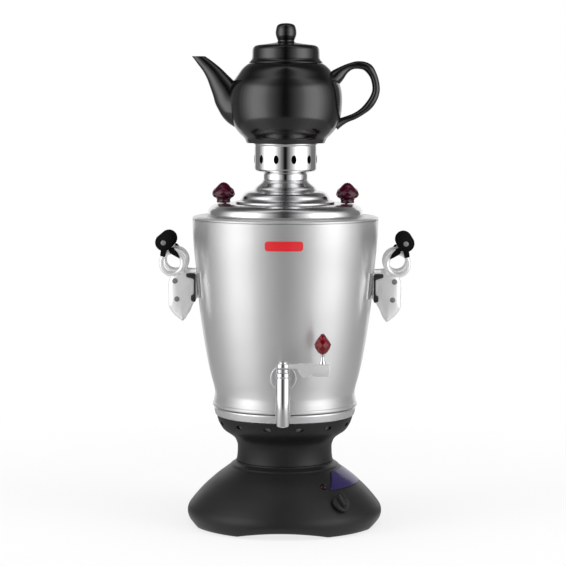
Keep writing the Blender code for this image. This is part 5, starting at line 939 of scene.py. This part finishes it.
def ring_arm(side, y):
    """Ring about the Y axis: between an inner circle that is shifted outward and an outer circle
    runs an oval section, whose half width is half the way between them."""
    outer_radius, inner_radius, shift, half_depth = 0.0150, 0.0093, 0.0010, 0.0033
    turn = np.linspace(0, 2 * np.pi, 72, endpoint=False)
    spin = np.linspace(0, 2 * np.pi, 24, endpoint=False)
    ray = np.stack([np.cos(turn), 0 * turn, np.sin(turn)], -1)
    outer = np.array((0.1220, 0, 0.2850)) + outer_radius * ray
    inner = np.array((0.1220 + shift, 0, 0.2850)) + inner_radius * ray
    middle, half = (outer + inner) / 2, (outer - inner) / 2
    points = middle[:, None] + np.cos(spin)[None, :, None] * half[:, None]
    points[..., 1] += half_depth * np.sign(np.sin(spin)) * np.abs(np.sin(spin))**0.8 + y
    points[..., 0] *= side
    return np.concatenate([points, points[:1]])


def scroll_arm(side, y, keys, width, depth):
    """Oval rod along a curve in the arm's plane, tapering by the third value of each key."""
    curve = flowing(keys, 6)
    path = np.stack([side * curve[:, 0], 0 * curve[:, 0] + y, curve[:, 1]], 1)
    return capped(carried(path, round_section * (width, depth), (0, 1, 0), curve[:, 2]))


def puffed(outline, y_front, y_back):
    """Closed leaf: rings drawn from the outline towards its middle, from the back face round the
    edge to a front face that arches up."""
    middle = outline.mean(0)
    share = np.array([0, 0.6, 0.85, 0.96, 1.0, 0.985, 0.93, 0.8, 0.6, 0.35, 0])
    depth = np.array([0, 0, 0, 0, 0.25, 0.55, 0.75, 0.88, 0.95, 1.0, 1.0])
    flat = middle + share[:, None, None] * (outline - middle)
    y = y_back + (y_front - y_back) * depth[:, None] + 0 * flat[..., 0]
    return np.stack([flat[..., 0], y, flat[..., 1]], -1)


arm_place, face_out, face_in = 0.027, 0.0036, 0.0034
scroll_keys = [(0.1245, 0.2985, 0.9), (0.1205, 0.2970, 0.8), (0.1165, 0.2952, 0.6), (0.1132, 0.2922, 0.5),
               (0.1114, 0.2880, 0.5), (0.1110, 0.2830, 0.55), (0.1112, 0.2785, 0.8), (0.1118, 0.2745, 1.0)]
root_keys = [(0.1310, 0.3080, 1.0), (0.1290, 0.3025, 1.0), (0.1268, 0.2975, 0.9)]
leaf_corners = [
    (0.0950, 0.2745, 0.001), (0.1090, 0.2756, 0.003), (0.1190, 0.2752, 0.003), (0.1245, 0.2710, 0.003),
    (0.1266, 0.2640, 0.003), (0.1262, 0.2490, 0.004), (0.1262, 0.2370, 0.003), (0.1205, 0.2290, 0.003),
    (0.1110, 0.2215, 0.0015), (0.1068, 0.2262, 0.003), (0.1020, 0.2380, 0.004), (0.0950, 0.2475, 0.001)]
pad_stations = [(None, -0.0240), (-0.00075, -0.0240), (0, -0.02325), (0, 0.02325), (-0.00075, 0.0240),
                (None, 0.0240)]
# Painted shade: a dark plate in the leaf's recess, and black plates where shade falls at the roots of the
# scroll arms.
marks = (
    ("recess", dark_spot, "chrome", [
        (0.1072, 0.2745, 0.002), (0.1072, 0.2702, 0.002), (0.1025, 0.2690, 0.002), (0.0986, 0.2680, 0.002),
        (0.0986, 0.2515, 0.002), (0.1017, 0.2500, 0.001), (0.1017, 0.2440, 0.002), (0.0975, 0.2430, 0.001),
        (0.0964, 0.2445, 0.001), (0.0966, 0.2732, 0.001), (0.0980, 0.2745, 0.001)]),
    ("root_outer", black_grip_and_shade, "black_plastic", [
        (0.1340, 0.3045, 0.001), (0.1356, 0.2930, 0.001), (0.1300, 0.2915, 0.001), (0.1275, 0.3045, 0.001)]),
    ("root_inner", black_grip_and_shade, "black_plastic", [
        (0.1270, 0.3020, 0.001), (0.1250, 0.2960, 0.001), (0.1190, 0.2925, 0.001), (0.1140, 0.2900, 0.001),
        (0.1160, 0.2960, 0.002), (0.1215, 0.3025, 0.001)]))
mark_low, mark_high, mark_edge = 0.0303, 0.0313, 0.0003
# Grey domes on the leaf's faces: painted shade in its hollows.
dimple = turned(rounded([(0, 0, 0), (0.0030, 0, 0), (0.0030, 0.0008, 0.0004), (0.0020, 0.0012, 0.0008),
                         (0, 0.0013, 0)], 4, closed=False), 40)
dimple_face = 0.0299
bar = rounded([(0, -0.0400, 0), (0.0080, -0.0400, 0.0006), (0.0094, -0.0384, 0.0010),
               (0.0094, 0.0384, 0.0010), (0.0080, 0.0400, 0.0006), (0, 0.0400, 0)], 5, closed=False)
cap = rounded([(0, 0.0400, 0), (0.0074, 0.0402, 0.0002), (0.0074, 0.0414, 0.0008), (0.0064, 0.0432, 0.0015),
               (0.0040, 0.0446, 0.0012), (0.0022, 0.0448, 0.0003), (0.0018, 0.0440, 0.0003),
               (0, 0.0438, 0)], 5, closed=False)
# A grey disc at the middle of each front cap: a painted highlight.
highlight_disc = rounded([(0, 0.0436, 0), (0.0030, 0.0436, 0), (0.0030, 0.0446, 0.0005), (0.0018, 0.0455, 0.0008),
                  (0, 0.0456, 0)], 4, closed=False)
lying = [0, 2, 1]
for word, side in (("left", -1), ("right", 1)):
    parts = []
    for y in (-arm_place, arm_place):
        parts.append(ring_arm(side, y))
        parts.append(scroll_arm(side, y, scroll_keys, 0.0028, 0.0030))
        parts.append(scroll_arm(side, y, root_keys, 0.0050, 0.0031))
        front, back = (y - face_out, y + face_in) if y < 0 else (y - face_in, y + face_out)
        parts.append(puffed(rounded(leaf_corners, 5) * (side, 1), front, back))
    parts.append(nested(0.0050, 0.01185, 0.0015, pad_stations, (side * 0.1010, 0.26235)))
    fit(shell(f"bracket_{word}", parts, cast), "samovar", "chrome", f"handle_casting_{word}")
    dress(bright_spun, f"handle_gasket_{word}")
    for shape, look, slot, corners in marks:
        drawn = rounded(corners, 4) * (side, 1)
        for end, low_y, high_y in (("front", -mark_high, -mark_low), ("rear", mark_low, mark_high)):
            fit(plate(f"{shape}_{word}_{end}", drawn, low_y, high_y, mark_edge, look), "samovar", slot)
    # Grey domes, painted shade in the hollows of the leaf.
    spots = []
    for x, z in ((0.1193, 0.2658), (0.1171, 0.2462)):
        for out in (-1, 1):
            spots.append(np.stack([side * x + dimple[..., 0], out * (dimple_face + dimple[..., 2]),
                                   z + dimple[..., 1]], -1))
    fit(shell(f"shade_dimples_{word}", spots, grey_shade_and_highlight), "samovar", "chrome")

    middle = np.array((side * 0.131, 0, 0.308))
    fit(shell(f"grip_bar_{word}", turned(bar, 96)[..., lying] + middle, black_grip_and_shade), "samovar",
        "black_plastic", f"grip_{word}")
    points = turned(cap, 72)[..., lying]
    fit(shell(f"cap_front_{word}", points * (1, -1, 1) + middle, black_grip_and_shade), "samovar", "chrome",
        f"grip_bolt_{word}")
    # The grey disc on the black front cap is a painted highlight.
    fit(shell(f"cap_highlight_{word}", turned(highlight_disc, 48)[..., lying] * (1, -1, 1) + middle, grey_shade_and_highlight),
        "samovar", "chrome")
    fit(shell(f"cap_rear_{word}", points + middle, chrome), "samovar", "chrome", f"grip_nut_{word}")
